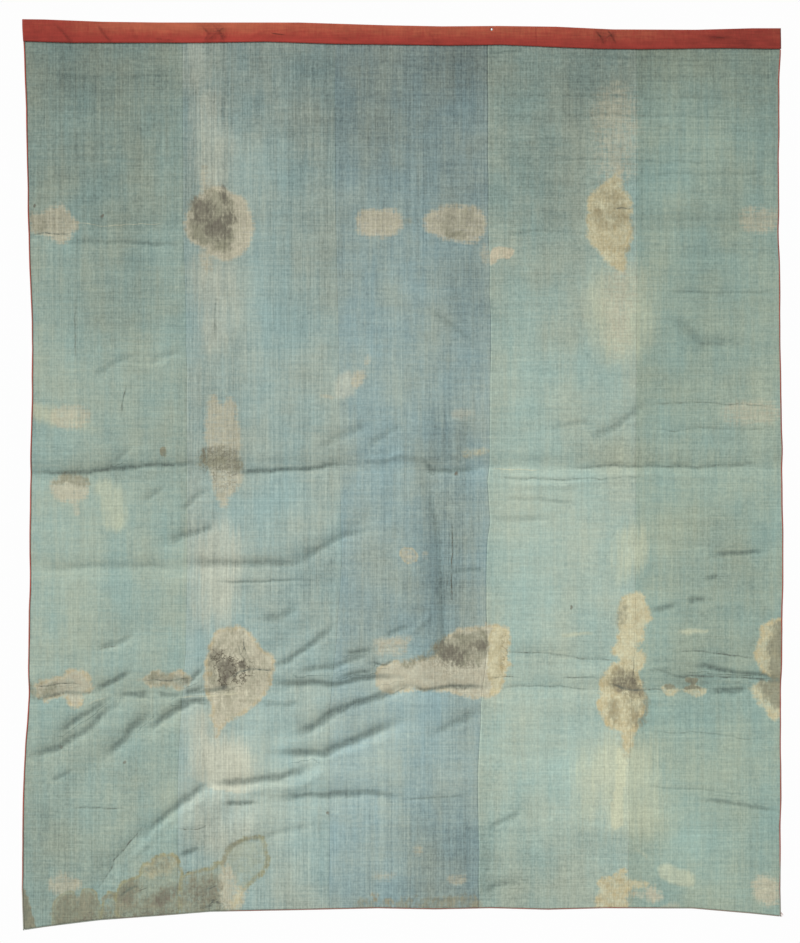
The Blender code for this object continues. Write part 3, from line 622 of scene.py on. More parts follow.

# Broad darker and paler areas, some of them painted shade and painted highlights beside
# folds: centre, half sizes and change of tone
Tone = namedtuple("Tone", "across drop half_width half_height shift")
TONES = [Tone(*row) for row in (
    (120, 1360, 110, 390, -0.20),
    (110, 1520, 90, 160, -0.12),
    (150, 1440, 60, 420, -0.06),
    (100, 2150, 130, 180, -0.20),
    (110, 330, 130, 270, -0.09),
    (130, 90, 130, 120, -0.06),
    (-930, 1190, 130, 340, 0.06),
    (-270, 1510, 160, 160, -0.08),
    (-310, 2040, 240, 160, 0.07),
    (310, 1250, 110, 420, 0.05),
    (350, 480, 150, 330, -0.11),
    (780, 1510, 160, 180, -0.09),
    (810, 1700, 110, 160, -0.07),
    (780, 720, 160, 240, -0.06),
    (690, 620, 70, 260, 0.11),
    (-80, 1860, 160, 110, 0.1),
    (-770, 1900, 210, 180, -0.08),
    (-950, 2180, 120, 250, -0.12),
    (-650, 1172, 340, 32, -0.10),
    (-740, 600, 170, 270, -0.07),
    (-373, 520, 60, 420, 0.09),
    (-370, 1920, 60, 90, 0.08),
    (-780, 2310, 260, 60, -0.06),
    (220, 2290, 420, 90, -0.11),
    (330, 2200, 130, 130, -0.06),
    (560, 1150, 70, 110, -0.07),
    (760, 270, 210, 160, 0.08),
    (-820, 300, 210, 180, -0.06),
    (-530, 90, 80, 80, 0.1),
    (940, 1610, 110, 200, -0.08),
    (890, 2040, 160, 160, -0.04),
    (570, 1190, 110, 130, 0.03),
    (150, 1060, 90, 30, -0.1),
    (-900, 770, 110, 160, 0.04),
    (-190, 590, 160, 130, -0.03),
    (800, 1445, 140, 30, -0.08),
    (-850, 2230, 260, 170, -0.05),
    (-430, 1120, 70, 130, -0.06),
    (-380, 2080, 100, 60, -0.06),
    (140, 2190, 110, 90, -0.06),
    (-30, 1400, 130, 190, -0.06),
    (-760, 750, 130, 110, -0.05),
    (-60, 300, 90, 210, -0.06),
    (-190, 650, 70, 110, -0.05),
    (440, 420, 90, 340, -0.06),
    (310, 2080, 110, 130, -0.04),
    (940, 1130, 90, 150, -0.05),
    (560, 1120, 110, 130, -0.04),
    (700, 250, 90, 190, 0.05),
    (-540, 1130, 70, 220, -0.1),
    (550, 110, 110, 90, -0.1),
    (180, 710, 60, 200, -0.16),
    (170, 90, 70, 70, -0.07),
    (-480, 2130, 110, 60, -0.09),
    (-715, 2190, 90, 70, -0.06),
    (-240, 1415, 70, 60, -0.09),
    (-84, 1320, 60, 90, -0.08),
    (-50, 1541, 90, 50, -0.09),
    (-147, 1125, 90, 70, -0.09),
    (830, 1325, 110, 70, -0.1),
    (168, 1800, 60, 60, -0.09),
    (168, 2172, 60, 90, -0.09),
    (440, 1790, 110, 50, -0.08),
    (-170, 190, 90, 120, -0.08),
    (-970, 2050, 50, 120, -0.08),
    (620, 2110, 60, 90, -0.08),
    (-147, 1794, 60, 50, -0.08),
    (-905, 400, 70, 50, -0.06),
    # Painted highlight on the lit side of a ridge
    (-589, 2046, 40, 60, 0.19),
    (-600, 625, 50, 110, 0.1),
    (-589, 1794, 40, 50, 0.08),
    (-274, 1925, 70, 40, 0.08),
    (673, 1541, 40, 50, 0.08),
    (736, 2109, 60, 80, 0.13),
    (-210, 1731, 60, 40, 0.07),
    (-25, 1722, 60, 35, 0.26),
    (-84, 1665, 40, 40, -0.12),
    (-880, 137, 110, 60, -0.09),
    (-505, 275, 80, 80, 0.1),
    (-105, 1560, 90, 130, -0.06),
    (-105, 270, 90, 70, -0.06),
    (515, 190, 110, 60, -0.11),
    (515, 1094, 110, 50, -0.07),
    (500, 1610, 70, 60, -0.09),
    (500, 2160, 110, 80, -0.11),
    (-520, 2110, 60, 90, -0.1),
    (-526, 1352, 45, 50, -0.13),
    (-526, 1983, 45, 40, 0.12),
    (-505, 960, 90, 60, -0.08),
    (760, 1725, 70, 40, -0.13),
    (700, 410, 80, 60, 0.08),
    (700, 205, 70, 50, 0.06),
    (900, 980, 100, 90, -0.07),
    (890, 1400, 100, 70, -0.08),
    (900, 650, 100, 70, 0.07),
    (-700, 1980, 90, 100, -0.06),
    (-860, 1145, 110, 50, -0.08),
    (-870, 752, 100, 40, -0.08),
    (100, 1094, 100, 40, -0.06),
    (231, 594, 30, 50, 0.1),
    (-589, 1415, 45, 50, 0.1),
    (-400, 690, 60, 90, 0.08),
    (-400, 370, 50, 70, 0.12),
    (915, 1690, 90, 35, 0.12),
    (820, 300, 90, 70, 0.09),
    (790, 2200, 90, 100, 0.08),
    (-620, 880, 70, 60, 0.1),
    (-210, 1420, 45, 45, -0.1),
    (-210, 1226, 45, 45, -0.1),
    (673, 910, 50, 50, -0.1),
    (-968, 1036, 45, 60, -0.1),
    (-115, 1790, 80, 45, -0.1),
    (358, 1667, 60, 50, -0.1),
    # Painted shade above the fold across the fourth and fifth widths, and a painted highlight below
    # it
    (650, 1135, 330, 20, -0.06),
    (500, 1180, 280, 16, 0.05),
    # Painted shade along the right edge of a mark
    (626, 1800, 25, 45, -0.14),
    (620, 1560, 45, 90, 0.07),
    (178, 1655, 45, 30, -0.12),
    (585, 1712, 45, 22, -0.1),
    (-147, 985, 35, 25, -0.12),
)]

# Marks on the lining, each with its outline. Damp took the dye out at the pale and cream
# ones, and left a deposit at the beige, tan, straw and tide ones. The others are grime,
# rust, mould and crumpled cloth, and one of the grime ones is painted shade. The edge is half
# the distance over which a mark fades out, in millimetres, and the rim is how strong the
# line is where the damp stopped.
Stain = namedtuple("Stain", "edge depth outline rim", defaults=(0.0,))
STAINS = {}
STAINS["pale"] = (
    (35, 0.45, ((-535, 170), (-465, 175), (-450, 325), (-475, 420), (-535, 430), (-550, 300))),
    (35, 0.45, ((-540, 620), (-445, 620), (-435, 745), (-465, 855), (-520, 850), (-545, 720))),
    (29, 0.25, ((-575, 35), (-505, 35), (-510, 175), (-570, 175))),
    (9, 0.45, ((-168, 916), (-134, 906), (-124, 950), (-145, 982), (-174, 974), (-176, 945))),
    (9, 0.5, ((128, 1012), (160, 1006), (190, 1012), (186, 1034), (150, 1038), (128, 1030))),
    (41.5, 0.5, (
        (-540, 1305), (-435, 1300), (-425, 1430), (-460, 1575), (-530, 1565), (-550, 1430),
    )),
    (38.5, 0.8, (
        (-540, 1815), (-505, 1805), (-495, 1885), (-435, 1875), (-390, 1905), (-395, 2010),
        (-430, 2050), (-520, 2045), (-545, 1930),
    )),
    (45, 0.35, ((-542, 1957), (-400, 1957), (-387, 2167), (-558, 2167))),
)
STAINS["cream"] = (
    (38.5, 0.3, ((535, 620), (620, 610), (625, 775), (600, 855), (540, 850), (525, 720))),
    (16, 0.48, (
        (-814, 1198), (-748, 1190), (-724, 1250), (-730, 1322), (-778, 1326), (-792, 1250),
    )),
    (16, 0.75, (
        (550, 1885), (580, 1885), (595, 1910), (610, 1910), (610, 2035), (595, 2115), (530, 2120),
        (535, 1985),
    )),
    (38.5, 0.55, ((560, 1325), (650, 1315), (660, 1405), (625, 1440), (565, 1440))),
    (5.5, 0.5, ((416, 1596), (500, 1592), (500, 1600), (416, 1604))),
    (5.5, 0.6, ((718, 1584), (802, 1586), (800, 1594), (732, 1594))),
    (7, 0.5, (
        (665, 2210), (700, 2195), (725, 2215), (750, 2215), (765, 2240), (765, 2265), (720, 2260),
        (685, 2245), (670, 2230),
    )),
    (5.5, 0.4, ((604, 2160), (626, 2162), (646, 2180), (642, 2188), (620, 2170))),
    (45, 0.4, ((481, 621), (665, 615), (679, 800), (626, 865), (508, 865))),
    (50, 0.12, ((626, 1286), (902, 1299), (915, 1510), (652, 1510))),
    (14, 0.6, ((-989, 976), (-931, 994), (-889, 1031), (-910, 1057), (-952, 1036), (-989, 1026))),
    (16, 0.3, ((-899, 999), (-805, 1047), (-821, 1078), (-905, 1047))),
    (40, 0.2, ((455, 1089), (836, 1078), (849, 1168), (468, 1178))),
    (55, 0.45, ((481, 1865), (665, 1865), (692, 2128), (481, 2141))),
    (45, 0.15, ((784, 905), (994, 905), (994, 1194), (810, 1194))),
)
STAINS["beige"] = (
    (7.5, 0.85, (
        (-510, 420), (-470, 415), (-445, 440), (-410, 455), (-400, 490), (-390, 530), (-400, 575),
        (-425, 590), (-445, 610), (-465, 620), (-485, 610), (-515, 605), (-535, 580), (-560, 570),
        (-570, 510), (-560, 475), (-545, 450), (-530, 440),
    )),
    (9.5, 0.5, ((-528, 374), (-510, 374), (-504, 432), (-528, 436))),
    (10.5, 0.55, ((-532, 562), (-494, 574), (-502, 620), (-516, 654), (-528, 636))),
    (9, 0.8, (
        (-125, 490), (-95, 480), (-45, 475), (-15, 485), (0, 505), (5, 520), (-15, 540), (-40, 560),
        (-65, 560), (-105, 550), (-125, 535),
    )),
    (9, 0.8, (
        (55, 515), (60, 490), (100, 480), (120, 475), (165, 475), (200, 480), (215, 495),
        (220, 540), (200, 565), (165, 570), (115, 560), (75, 550), (55, 540),
    )),
    (7.5, 0.35, ((202, 582), (210, 568), (228, 578), (228, 628), (214, 624), (202, 608))),
    (3.5, 0.95, (
        (224, 579), (255, 580), (294, 583), (298, 592), (294, 606), (284, 616), (262, 608),
        (244, 618), (228, 630),
    )),
    (7, 0.6, ((557, 350), (573, 350), (580, 410), (556, 412))),
    (6, 0.5, ((570, 640), (586, 640), (588, 668), (576, 668))),
    (34, 0.38, ((510, 165), (610, 160), (605, 300), (590, 400), (530, 415), (510, 300))),
    (34, 0.4, ((540, 640), (600, 630), (605, 775), (590, 855), (545, 850), (530, 720))),
    (12, 0.5, ((885, 485), (940, 475), (990, 490), (990, 535), (935, 550), (885, 530))),
    (9, 0.75, (
        (-980, 490), (-940, 495), (-925, 475), (-900, 470), (-885, 480), (-855, 510), (-850, 525),
        (-870, 550), (-890, 575), (-915, 565), (-930, 550), (-980, 545),
    )),
    (6, 0.6, ((-134, 912), (-112, 902), (-99, 912), (-104, 936), (-116, 956), (-132, 950))),
    (5, 0.35, ((-104, 896), (-98, 866), (-84, 864), (-86, 892))),
    (4, 0.45, ((-226, 964), (-180, 966), (-170, 975), (-200, 978))),
    (9.5, 0.5, ((-925, 1010), (-875, 995), (-820, 1005), (-820, 1045), (-875, 1065), (-920, 1050))),
    (9, 0.68, (
        (-512, 1000), (-497, 962), (-484, 990), (-470, 1000), (-450, 970), (-436, 990),
        (-430, 1060), (-428, 1130), (-420, 1180), (-436, 1215), (-465, 1276), (-482, 1245),
        (-500, 1190), (-512, 1120), (-520, 1050),
    )),
    (8, 0.68, (
        (-926, 1205), (-908, 1184), (-870, 1178), (-830, 1184), (-816, 1210), (-828, 1242),
        (-868, 1258), (-912, 1246),
    )),
    (5, 0.35, ((-862, 1250), (-846, 1250), (-844, 1292), (-858, 1292))),
    (14.5, 0.4, ((835, 990), (990, 985), (990, 1045), (845, 1050))),
    (6, 0.45, ((4, 1382), (26, 1380), (28, 1406), (8, 1410))),
    (5, 0.3, ((52, 1374), (66, 1374), (68, 1400), (54, 1400))),
    (10, 0.6, (
        (-932, 2246), (-912, 2230), (-878, 2230), (-844, 2246), (-846, 2268), (-894, 2278),
        (-926, 2268),
    )),
    (9, 0.75, ((640, 2262), (668, 2262), (690, 2294), (662, 2300), (640, 2290))),
    (7.5, 0.45, ((598, 2270), (640, 2278), (640, 2290), (600, 2288))),
    (9, 0.45, ((682, 2306), (728, 2306), (728, 2340), (678, 2340))),
    (11, 0.7, (
        (915, 2255), (930, 2235), (965, 2230), (990, 2255), (990, 2300), (950, 2310), (920, 2290),
    )),
    (9, 0.45, ((26, 2162), (42, 2154), (50, 2168), (34, 2178))),
    (7.5, 0.5, ((120, 2230), (164, 2230), (164, 2252), (124, 2252))),
    (11, 0.3, ((-82, 2220), (-24, 2220), (-24, 2236), (-82, 2236))),
)
STAINS["tide"] = (
    (3, 0.8, (
        (-920, 2378), (-923, 2341), (-923, 2322), (-918, 2296), (-905, 2280), (-889, 2271),
        (-868, 2270), (-860, 2278), (-859, 2304), (-855, 2330), (-855, 2378),
    ), 0.25),
    (3, 0.8, (
        (-857, 2378), (-852, 2330), (-848, 2309), (-848, 2291), (-846, 2274), (-834, 2267),
        (-818, 2268), (-805, 2276), (-800, 2299), (-794, 2314), (-789, 2378),
    ), 0.3),
    (5, 0.35, (
        (-789, 2372), (-789, 2293), (-784, 2278), (-776, 2270), (-763, 2271), (-755, 2280),
        (-752, 2295), (-747, 2309), (-750, 2372),
    ), 0.7),
    (5.5, 0.5, (
        (-750, 2372), (-751, 2293), (-750, 2275), (-742, 2255), (-723, 2247), (-700, 2238),
        (-690, 2229), (-692, 2212), (-681, 2201), (-665, 2201), (-660, 2204), (-655, 2188),
        (-639, 2178), (-610, 2172), (-597, 2178), (-586, 2193), (-580, 2207), (-573, 2225),
        (-581, 2254), (-581, 2367),
    ), 0.75),
    (5.5, 0.55, (
        (-584, 2367), (-584, 2257), (-573, 2225), (-542, 2222), (-513, 2214), (-500, 2201),
        (-496, 2189), (-479, 2189), (-468, 2204), (-463, 2236), (-463, 2356),
    ), 0.65),
    (7.5, 0.38, (
        (-479, 2335), (-481, 2204), (-471, 2178), (-455, 2159), (-437, 2143), (-410, 2133),
        (-381, 2124), (-366, 2130), (-359, 2149), (-355, 2172), (-352, 2196), (-358, 2220),
        (-371, 2234), (-394, 2249), (-405, 2267), (-423, 2291), (-442, 2314), (-458, 2335),
    ), 0.52),
)
STAINS["tan"] = (
    (7, 0.95, (
        (-490, 1580), (-460, 1585), (-425, 1575), (-395, 1595), (-375, 1625), (-350, 1645),
        (-335, 1660), (-335, 1685), (-345, 1710), (-350, 1740), (-360, 1760), (-380, 1780),
        (-400, 1800), (-425, 1815), (-460, 1825), (-475, 1850), (-485, 1880), (-495, 1850),
        (-500, 1820), (-500, 1785), (-510, 1760), (-520, 1730), (-520, 1690), (-515, 1655),
        (-505, 1635),
    ), 0.32),
    (7, 0.6, ((-498, 1830), (-476, 1836), (-484, 1878), (-492, 1888))),
    (13, 0.62, (
        (-74, 1618), (-65, 1612), (-30, 1606), (5, 1604), (26, 1612), (20, 1628), (-5, 1645),
        (-40, 1650), (-68, 1646),
    )),
    (7, 0.9, (
        (-75, 1680), (-25, 1665), (50, 1665), (100, 1650), (105, 1615), (125, 1595), (145, 1585),
        (185, 1585), (210, 1575), (225, 1565), (275, 1575), (285, 1595), (280, 1660), (275, 1700),
        (260, 1740), (225, 1765), (185, 1765), (145, 1760), (110, 1750), (75, 1740), (35, 1745),
        (-5, 1755), (-40, 1760), (-70, 1750),
    ), 0.2),
    (4, 0.28, ((-2, 1376), (22, 1370), (42, 1384), (40, 1412), (16, 1420), (-2, 1404)), 0.3),
    (7.5, 0.8, (
        (-965, 1720), (-935, 1715), (-890, 1710), (-885, 1695), (-865, 1685), (-835, 1695),
        (-815, 1715), (-805, 1735), (-815, 1750), (-835, 1760), (-840, 1780), (-850, 1795),
        (-865, 1795), (-880, 1780), (-885, 1765), (-920, 1765), (-940, 1775), (-950, 1765),
        (-965, 1755),
    ), 0.3),
    (7, 0.7, (
        (-696, 1720), (-670, 1712), (-660, 1694), (-642, 1692), (-632, 1704), (-610, 1706),
        (-600, 1694), (-582, 1692), (-570, 1702), (-554, 1706), (-558, 1720), (-574, 1736),
        (-592, 1742), (-612, 1730), (-640, 1736), (-654, 1744), (-674, 1730),
    ), 0.2),
    (9, 0.65, (
        (-481, 2199), (-463, 2193), (-450, 2212), (-439, 2246), (-420, 2270), (-396, 2262),
        (-412, 2290), (-438, 2320), (-458, 2330), (-481, 2320), (-489, 2259),
    )),
)
STAINS["straw"] = (
    (7.5, 0.9, (
        (565, 375), (575, 405), (580, 430), (595, 445), (595, 475), (600, 490), (585, 515),
        (600, 545), (595, 590), (585, 605), (585, 645), (570, 645), (550, 630), (530, 620),
        (510, 590), (490, 565), (485, 535), (490, 500), (485, 465), (500, 440), (525, 415),
        (555, 400),
    ), 0.1),
    (7.5, 0.4, ((158, 1112), (220, 1110), (224, 1126), (164, 1128))),
    (7, 0.85, (
        (224, 1566), (275, 1575), (285, 1595), (280, 1660), (275, 1700), (260, 1740), (226, 1765),
    ), 0.2),
    (7, 0.9, (
        (575, 1500), (600, 1490), (635, 1485), (640, 1520), (660, 1540), (655, 1565), (635, 1585),
        (635, 1615), (620, 1625), (615, 1640), (635, 1645), (635, 1665), (630, 1690), (585, 1690),
        (565, 1665), (550, 1640), (555, 1630), (575, 1625), (565, 1600), (565, 1540),
    ), 0.1),
    (7, 0.9, (
        (565, 1665), (600, 1670), (625, 1710), (640, 1745), (640, 1780), (620, 1820), (610, 1855),
        (575, 1855), (545, 1840), (525, 1820), (510, 1790), (515, 1745), (520, 1715), (540, 1685),
    ), 0.35),
    (7, 0.85, ((576, 1846), (612, 1846), (602, 1878), (592, 1918), (582, 1898), (576, 1878))),
    (7.5, 0.8, (
        (1015, 1550), (970, 1560), (935, 1580), (940, 1595), (930, 1615), (925, 1645), (920, 1660),
        (935, 1675), (940, 1695), (960, 1710), (1015, 1720),
    ), 0.35),
    (7.5, 0.75, (
        (1015, 1725), (940, 1725), (915, 1740), (925, 1765), (940, 1790), (965, 1825), (980, 1830),
        (990, 1810), (1015, 1790),
    )),
    (4, 0.6, (
        (681, 1738), (689, 1732), (707, 1731), (717, 1740), (734, 1742), (752, 1738), (758, 1728),
        (766, 1733), (778, 1738), (803, 1745), (797, 1755), (781, 1762), (763, 1758), (748, 1750),
        (730, 1748), (718, 1751), (713, 1758), (699, 1761), (690, 1751),
    )),
    (11, 0.3, (
        (-688, 2220), (-675, 2204), (-650, 2196), (-636, 2182), (-605, 2176), (-590, 2195),
        (-596, 2222), (-650, 2236), (-680, 2244),
    )),
    (9, 0.45, ((-440, 2268), (-415, 2262), (-402, 2274), (-430, 2310), (-458, 2326))),
    (7, 0.75, (
        (500, 2340), (510, 2300), (515, 2260), (510, 2245), (525, 2240), (540, 2225), (555, 2235),
        (565, 2220), (570, 2210), (585, 2210), (590, 2235), (595, 2245), (645, 2250), (645, 2260),
        (610, 2265), (590, 2270), (595, 2340),
    ), 0.2),
)
STAINS["grime"] = (
    (12.5, 0.68, (
        (-560, 460), (-520, 435), (-470, 425), (-445, 465), (-440, 520), (-445, 580), (-465, 600),
        (-495, 580), (-530, 575), (-560, 565), (-565, 505),
    )),
    (8.5, 0.22, ((0, 508), (50, 508), (50, 520), (0, 518))),
    (10, 0.6, ((110, 540), (148, 534), (182, 536), (182, 554), (148, 560), (114, 552))),
    (12.5, 0.22, ((100, 485), (200, 480), (215, 535), (160, 550), (100, 530))),
    (16, 0.26, ((520, 425), (580, 435), (590, 485), (580, 530), (520, 530), (490, 490))),
    (11, 0.25, ((-984, 490), (-942, 494), (-942, 542), (-984, 544))),
    (11, 0.58, (
        (-526, 1108), (-505, 1114), (-480, 1102), (-440, 1110), (-424, 1140), (-418, 1156),
        (-440, 1176), (-465, 1168), (-490, 1184), (-520, 1160), (-540, 1152),
    )),
    (7, 0.62, (
        (-920, 1200), (-900, 1178), (-868, 1172), (-828, 1177), (-814, 1204), (-838, 1207),
        (-878, 1194), (-908, 1208),
    )),
    (16, 0.56, (
        (-512, 1648), (-470, 1640), (-420, 1640), (-392, 1670), (-376, 1700), (-395, 1738),
        (-430, 1756), (-496, 1752), (-515, 1700),
    )),
    (20, 0.28, (
        (-490, 1600), (-425, 1590), (-360, 1665), (-355, 1740), (-420, 1805), (-480, 1830),
        (-515, 1700),
    )),
    (8, 0.65, (
        (105, 1605), (125, 1590), (155, 1600), (190, 1590), (222, 1580), (222, 1675), (185, 1685),
        (145, 1680), (105, 1665), (60, 1668), (5, 1685), (-5, 1670), (60, 1650),
    )),
    (12, 0.55, (
        (555, 1690), (575, 1680), (600, 1695), (625, 1715), (640, 1745), (635, 1790), (610, 1815),
        (605, 1755), (560, 1745), (540, 1725),
    )),
    (14, 0.5, ((585, 1740), (640, 1750), (645, 1800), (625, 1840), (598, 1830), (585, 1790))),
    (8.5, 0.45, ((538, 1770), (566, 1768), (566, 1828), (550, 1832), (534, 1806))),
    # This one is painted shade along the mark's right edge
    (4, 0.6, (
        (640, 1748), (652, 1768), (648, 1784), (646, 1805), (637, 1822), (630, 1838), (612, 1842),
        (608, 1822), (624, 1806), (628, 1784), (635, 1768),
    )),
    (9, 0.4, ((562, 1520), (584, 1508), (590, 1570), (562, 1590))),
    (10, 0.82, (
        (1015, 1555), (965, 1575), (955, 1645), (965, 1710), (940, 1735), (950, 1775), (975, 1795),
        (1015, 1785),
    )),
    (3, 0.85, ((688, 1734), (714, 1730), (720, 1741), (694, 1743))),
    (2, 0.95, (
        (740, 1711), (756, 1715), (774, 1715), (770, 1728), (764, 1735), (784, 1736), (784, 1744),
        (738, 1744), (740, 1736), (755, 1735), (755, 1729), (742, 1724),
    )),
    (10, 0.5, ((-990, 1722), (-900, 1726), (-900, 1762), (-984, 1762))),
    (6, 0.4, ((-690, 1716), (-640, 1702), (-580, 1698), (-560, 1712), (-600, 1738), (-650, 1738))),
    (5.5, 0.7, (
        (-668, 1720), (-660, 1698), (-636, 1696), (-616, 1710), (-604, 1722), (-642, 1726),
    )),
    (3.5, 0.95, (
        (-1020, 2255), (-996, 2260), (-986, 2278), (-980, 2299), (-975, 2330), (-965, 2351),
        (-955, 2388), (-1020, 2388),
    )),
    (4, 0.55, (
        (-792, 2304), (-786, 2276), (-768, 2266), (-750, 2276), (-746, 2304), (-758, 2288),
        (-780, 2288),
    )),
    (5, 0.4, (
        (-484, 2196), (-472, 2172), (-446, 2146), (-412, 2130), (-380, 2122), (-382, 2132),
        (-412, 2142), (-440, 2158), (-462, 2182), (-472, 2200),
    )),
    (12, 0.42, (
        (-680, 2230), (-662, 2200), (-640, 2180), (-610, 2174), (-594, 2184), (-590, 2210),
        (-615, 2218), (-650, 2232),
    )),
    (9, 0.75, (
        (-920, 2378), (-920, 2308), (-905, 2284), (-865, 2278), (-857, 2307), (-847, 2278),
        (-807, 2278), (-797, 2310), (-792, 2378),
    )),
    (8, 0.9, (
        (-747, 2257), (-723, 2251), (-697, 2241), (-684, 2257), (-694, 2280), (-715, 2307),
        (-747, 2314),
    )),
    (10, 0.62, (
        (-926, 2388), (-857, 2326), (-794, 2318), (-744, 2298), (-713, 2308), (-673, 2288),
        (-655, 2280), (-623, 2262), (-589, 2250), (-581, 2378), (-704, 2386), (-710, 2344),
        (-722, 2328), (-738, 2332), (-746, 2386), (-768, 2388),
    )),
    (14, 0.6, (
        (-584, 2257), (-563, 2236), (-518, 2226), (-494, 2214), (-478, 2246), (-482, 2285),
        (-466, 2314), (-470, 2346), (-584, 2367),
    )),
    (8.5, 0.5, (
        (-126, 2320), (-116, 2296), (-94, 2288), (-6, 2286), (100, 2288), (200, 2280), (206, 2340),
        (-126, 2340),
    )),
    (2.5, 0.85, ((-636, 1106), (-624, 1106), (-616, 1118), (-620, 1132), (-634, 1126))),
)
STAINS["rust"] = (
    (14, 0.2, (
        (500, 460), (560, 400), (590, 440), (600, 520), (590, 600), (582, 645), (540, 610),
        (495, 540),
    )),
    (5.5, 0.45, ((584, 578), (600, 578), (600, 592), (584, 592))),
    (4, 0.4, ((-520, 1694), (-500, 1696), (-500, 1706), (-520, 1706))),
    (7, 0.28, ((252, 1594), (274, 1594), (274, 1646), (268, 1698), (258, 1704), (256, 1654))),
    (3, 0.4, ((284, 1668), (292, 1668), (290, 1684), (284, 1680))),
    (14, 0.2, (
        (515, 1705), (560, 1680), (620, 1700), (642, 1760), (620, 1825), (600, 1890), (585, 1925),
        (560, 1855), (520, 1800),
    )),
    (3, 0.6, ((774, 1742), (782, 1742), (782, 1750), (774, 1750))),
    (7, 0.35, ((-84, 2274), (-64, 2278), (-64, 2294), (-82, 2290))),
    (7, 0.35, ((-44, 2288), (-24, 2288), (-26, 2310), (-42, 2304))),
    (12, 0.18, (
        (515, 2250), (560, 2225), (595, 2240), (640, 2255), (600, 2290), (590, 2340), (505, 2340),
    )),
)
STAINS["mould"] = (
    (10, 0.6, (
        (-550, 450), (-510, 445), (-495, 475), (-500, 520), (-515, 520), (-560, 515), (-555, 485),
    )),
    (10, 0.7, (
        (-510, 520), (-490, 515), (-470, 490), (-440, 490), (-440, 515), (-450, 540), (-475, 565),
        (-500, 560), (-520, 535),
    )),
    (10, 0.57, ((-474, 416), (-458, 420), (-460, 478), (-474, 474))),
    (2, 0.9, ((-970, 466), (-954, 468), (-962, 482), (-968, 478))),
    (2, 0.6, ((-794, 494), (-784, 492), (-786, 504), (-792, 502))),
    (6, 0.3, ((-522, 1110), (-480, 1105), (-438, 1112), (-436, 1124), (-480, 1120), (-518, 1128))),
    (13, 0.62, (
        (-492, 1664), (-470, 1652), (-450, 1662), (-432, 1676), (-408, 1684), (-405, 1697),
        (-440, 1705), (-468, 1712), (-488, 1702),
    )),
    (3, 0.95, ((-434, 1672), (-418, 1670), (-409, 1682), (-416, 1696), (-434, 1690))),
    (12, 0.3, ((-512, 1640), (-476, 1632), (-430, 1640), (-460, 1662), (-500, 1672))),
    (8, 0.6, ((-478, 1704), (-460, 1706), (-460, 1736), (-470, 1746), (-482, 1730))),
    (12, 0.74, (
        (102, 1614), (118, 1614), (142, 1630), (158, 1646), (148, 1678), (116, 1668), (102, 1646),
    )),
    (12, 0.55, ((168, 1620), (220, 1614), (220, 1636), (190, 1648), (168, 1646))),
    (14, 0.46, ((556, 1706), (590, 1692), (616, 1710), (640, 1752), (600, 1752), (558, 1738))),
    (9, 0.3, ((-735, 2275), (-722, 2262), (-704, 2262), (-700, 2290), (-722, 2305), (-738, 2296))),
    (9, 0.42, (
        (-656, 2294), (-640, 2280), (-618, 2275), (-597, 2260), (-589, 2254), (-589, 2278),
        (-606, 2292), (-620, 2310), (-640, 2315),
    )),
    (9, 0.36, (
        (-926, 2378), (-873, 2346), (-768, 2343), (-689, 2330), (-584, 2320), (-581, 2367),
        (-768, 2388),
    )),
    (16, 0.22, (
        (-568, 2270), (-531, 2257), (-494, 2241), (-487, 2272), (-518, 2299), (-563, 2301),
    )),
    (3, 0.95, ((139, 1168), (151, 1168), (151, 1180), (140, 1180))),
    (2, 0.8, ((440, 1522), (450, 1526), (448, 1536), (440, 1534))),
    (2, 0.6, ((-902, 1886), (-892, 1886), (-892, 1896), (-900, 1896))),
    (2, 0.5, ((-202, 2062), (-194, 2062), (-194, 2072), (-202, 2070))),
    (2, 0.5, ((-732, 1928), (-724, 1930), (-726, 1938), (-732, 1938))),
)
STAINS["crumple"] = (
    (12, 0.4, ((-530, 1112), (-432, 1108), (-424, 1180), (-450, 1240), (-492, 1200), (-536, 1160))),
    (14, 0.85, (
        (-510, 1635), (-470, 1632), (-440, 1655), (-395, 1670), (-385, 1700), (-410, 1730),
        (-450, 1752), (-485, 1745), (-495, 1700),
    )),
    (6, 0.4, ((256, 1592), (284, 1598), (282, 1650), (272, 1694), (256, 1690), (262, 1635))),
    (14, 0.35, ((60, 1665), (140, 1660), (200, 1672), (190, 1700), (100, 1705))),
    (12, 0.4, (
        (540, 1730), (560, 1704), (600, 1695), (625, 1715), (645, 1750), (640, 1775), (580, 1765),
    )),
    (14, 0.28, (
        (-573, 2250), (-494, 2225), (-470, 2270), (-450, 2320), (-500, 2335), (-560, 2310),
    )),
    (8, 0.4, (
        (-920, 2370), (-857, 2345), (-744, 2325), (-640, 2318), (-584, 2310), (-581, 2340),
        (-700, 2355), (-860, 2378),
    )),
)

# The kinds that have a rim, the most edge widths that are stored, how far round a mark it
# is worked out, how its corners are cut, and the unevenness that frays its outline
RIMMED_KINDS = ("tide", "tan", "straw")
STAIN_LIMIT = 20.0
STAIN_REACH = 120.0 * MM
CORNER_CUTS, CORNER_SHARE = 2, 0.25
FRAY_ACROSS, FRAY_UP = (Patches(26, 12, 2, 41),), (Patches(11, 30, 2, 42),)

# Beside a seam, in millimetres: how wide its painted shade is, and where its painted
# highlight lies
SEAM_SHADE_WIDE = 2.5
SEAM_SHINE_FROM, SEAM_SHINE_WIDE = 1.5, 2.0


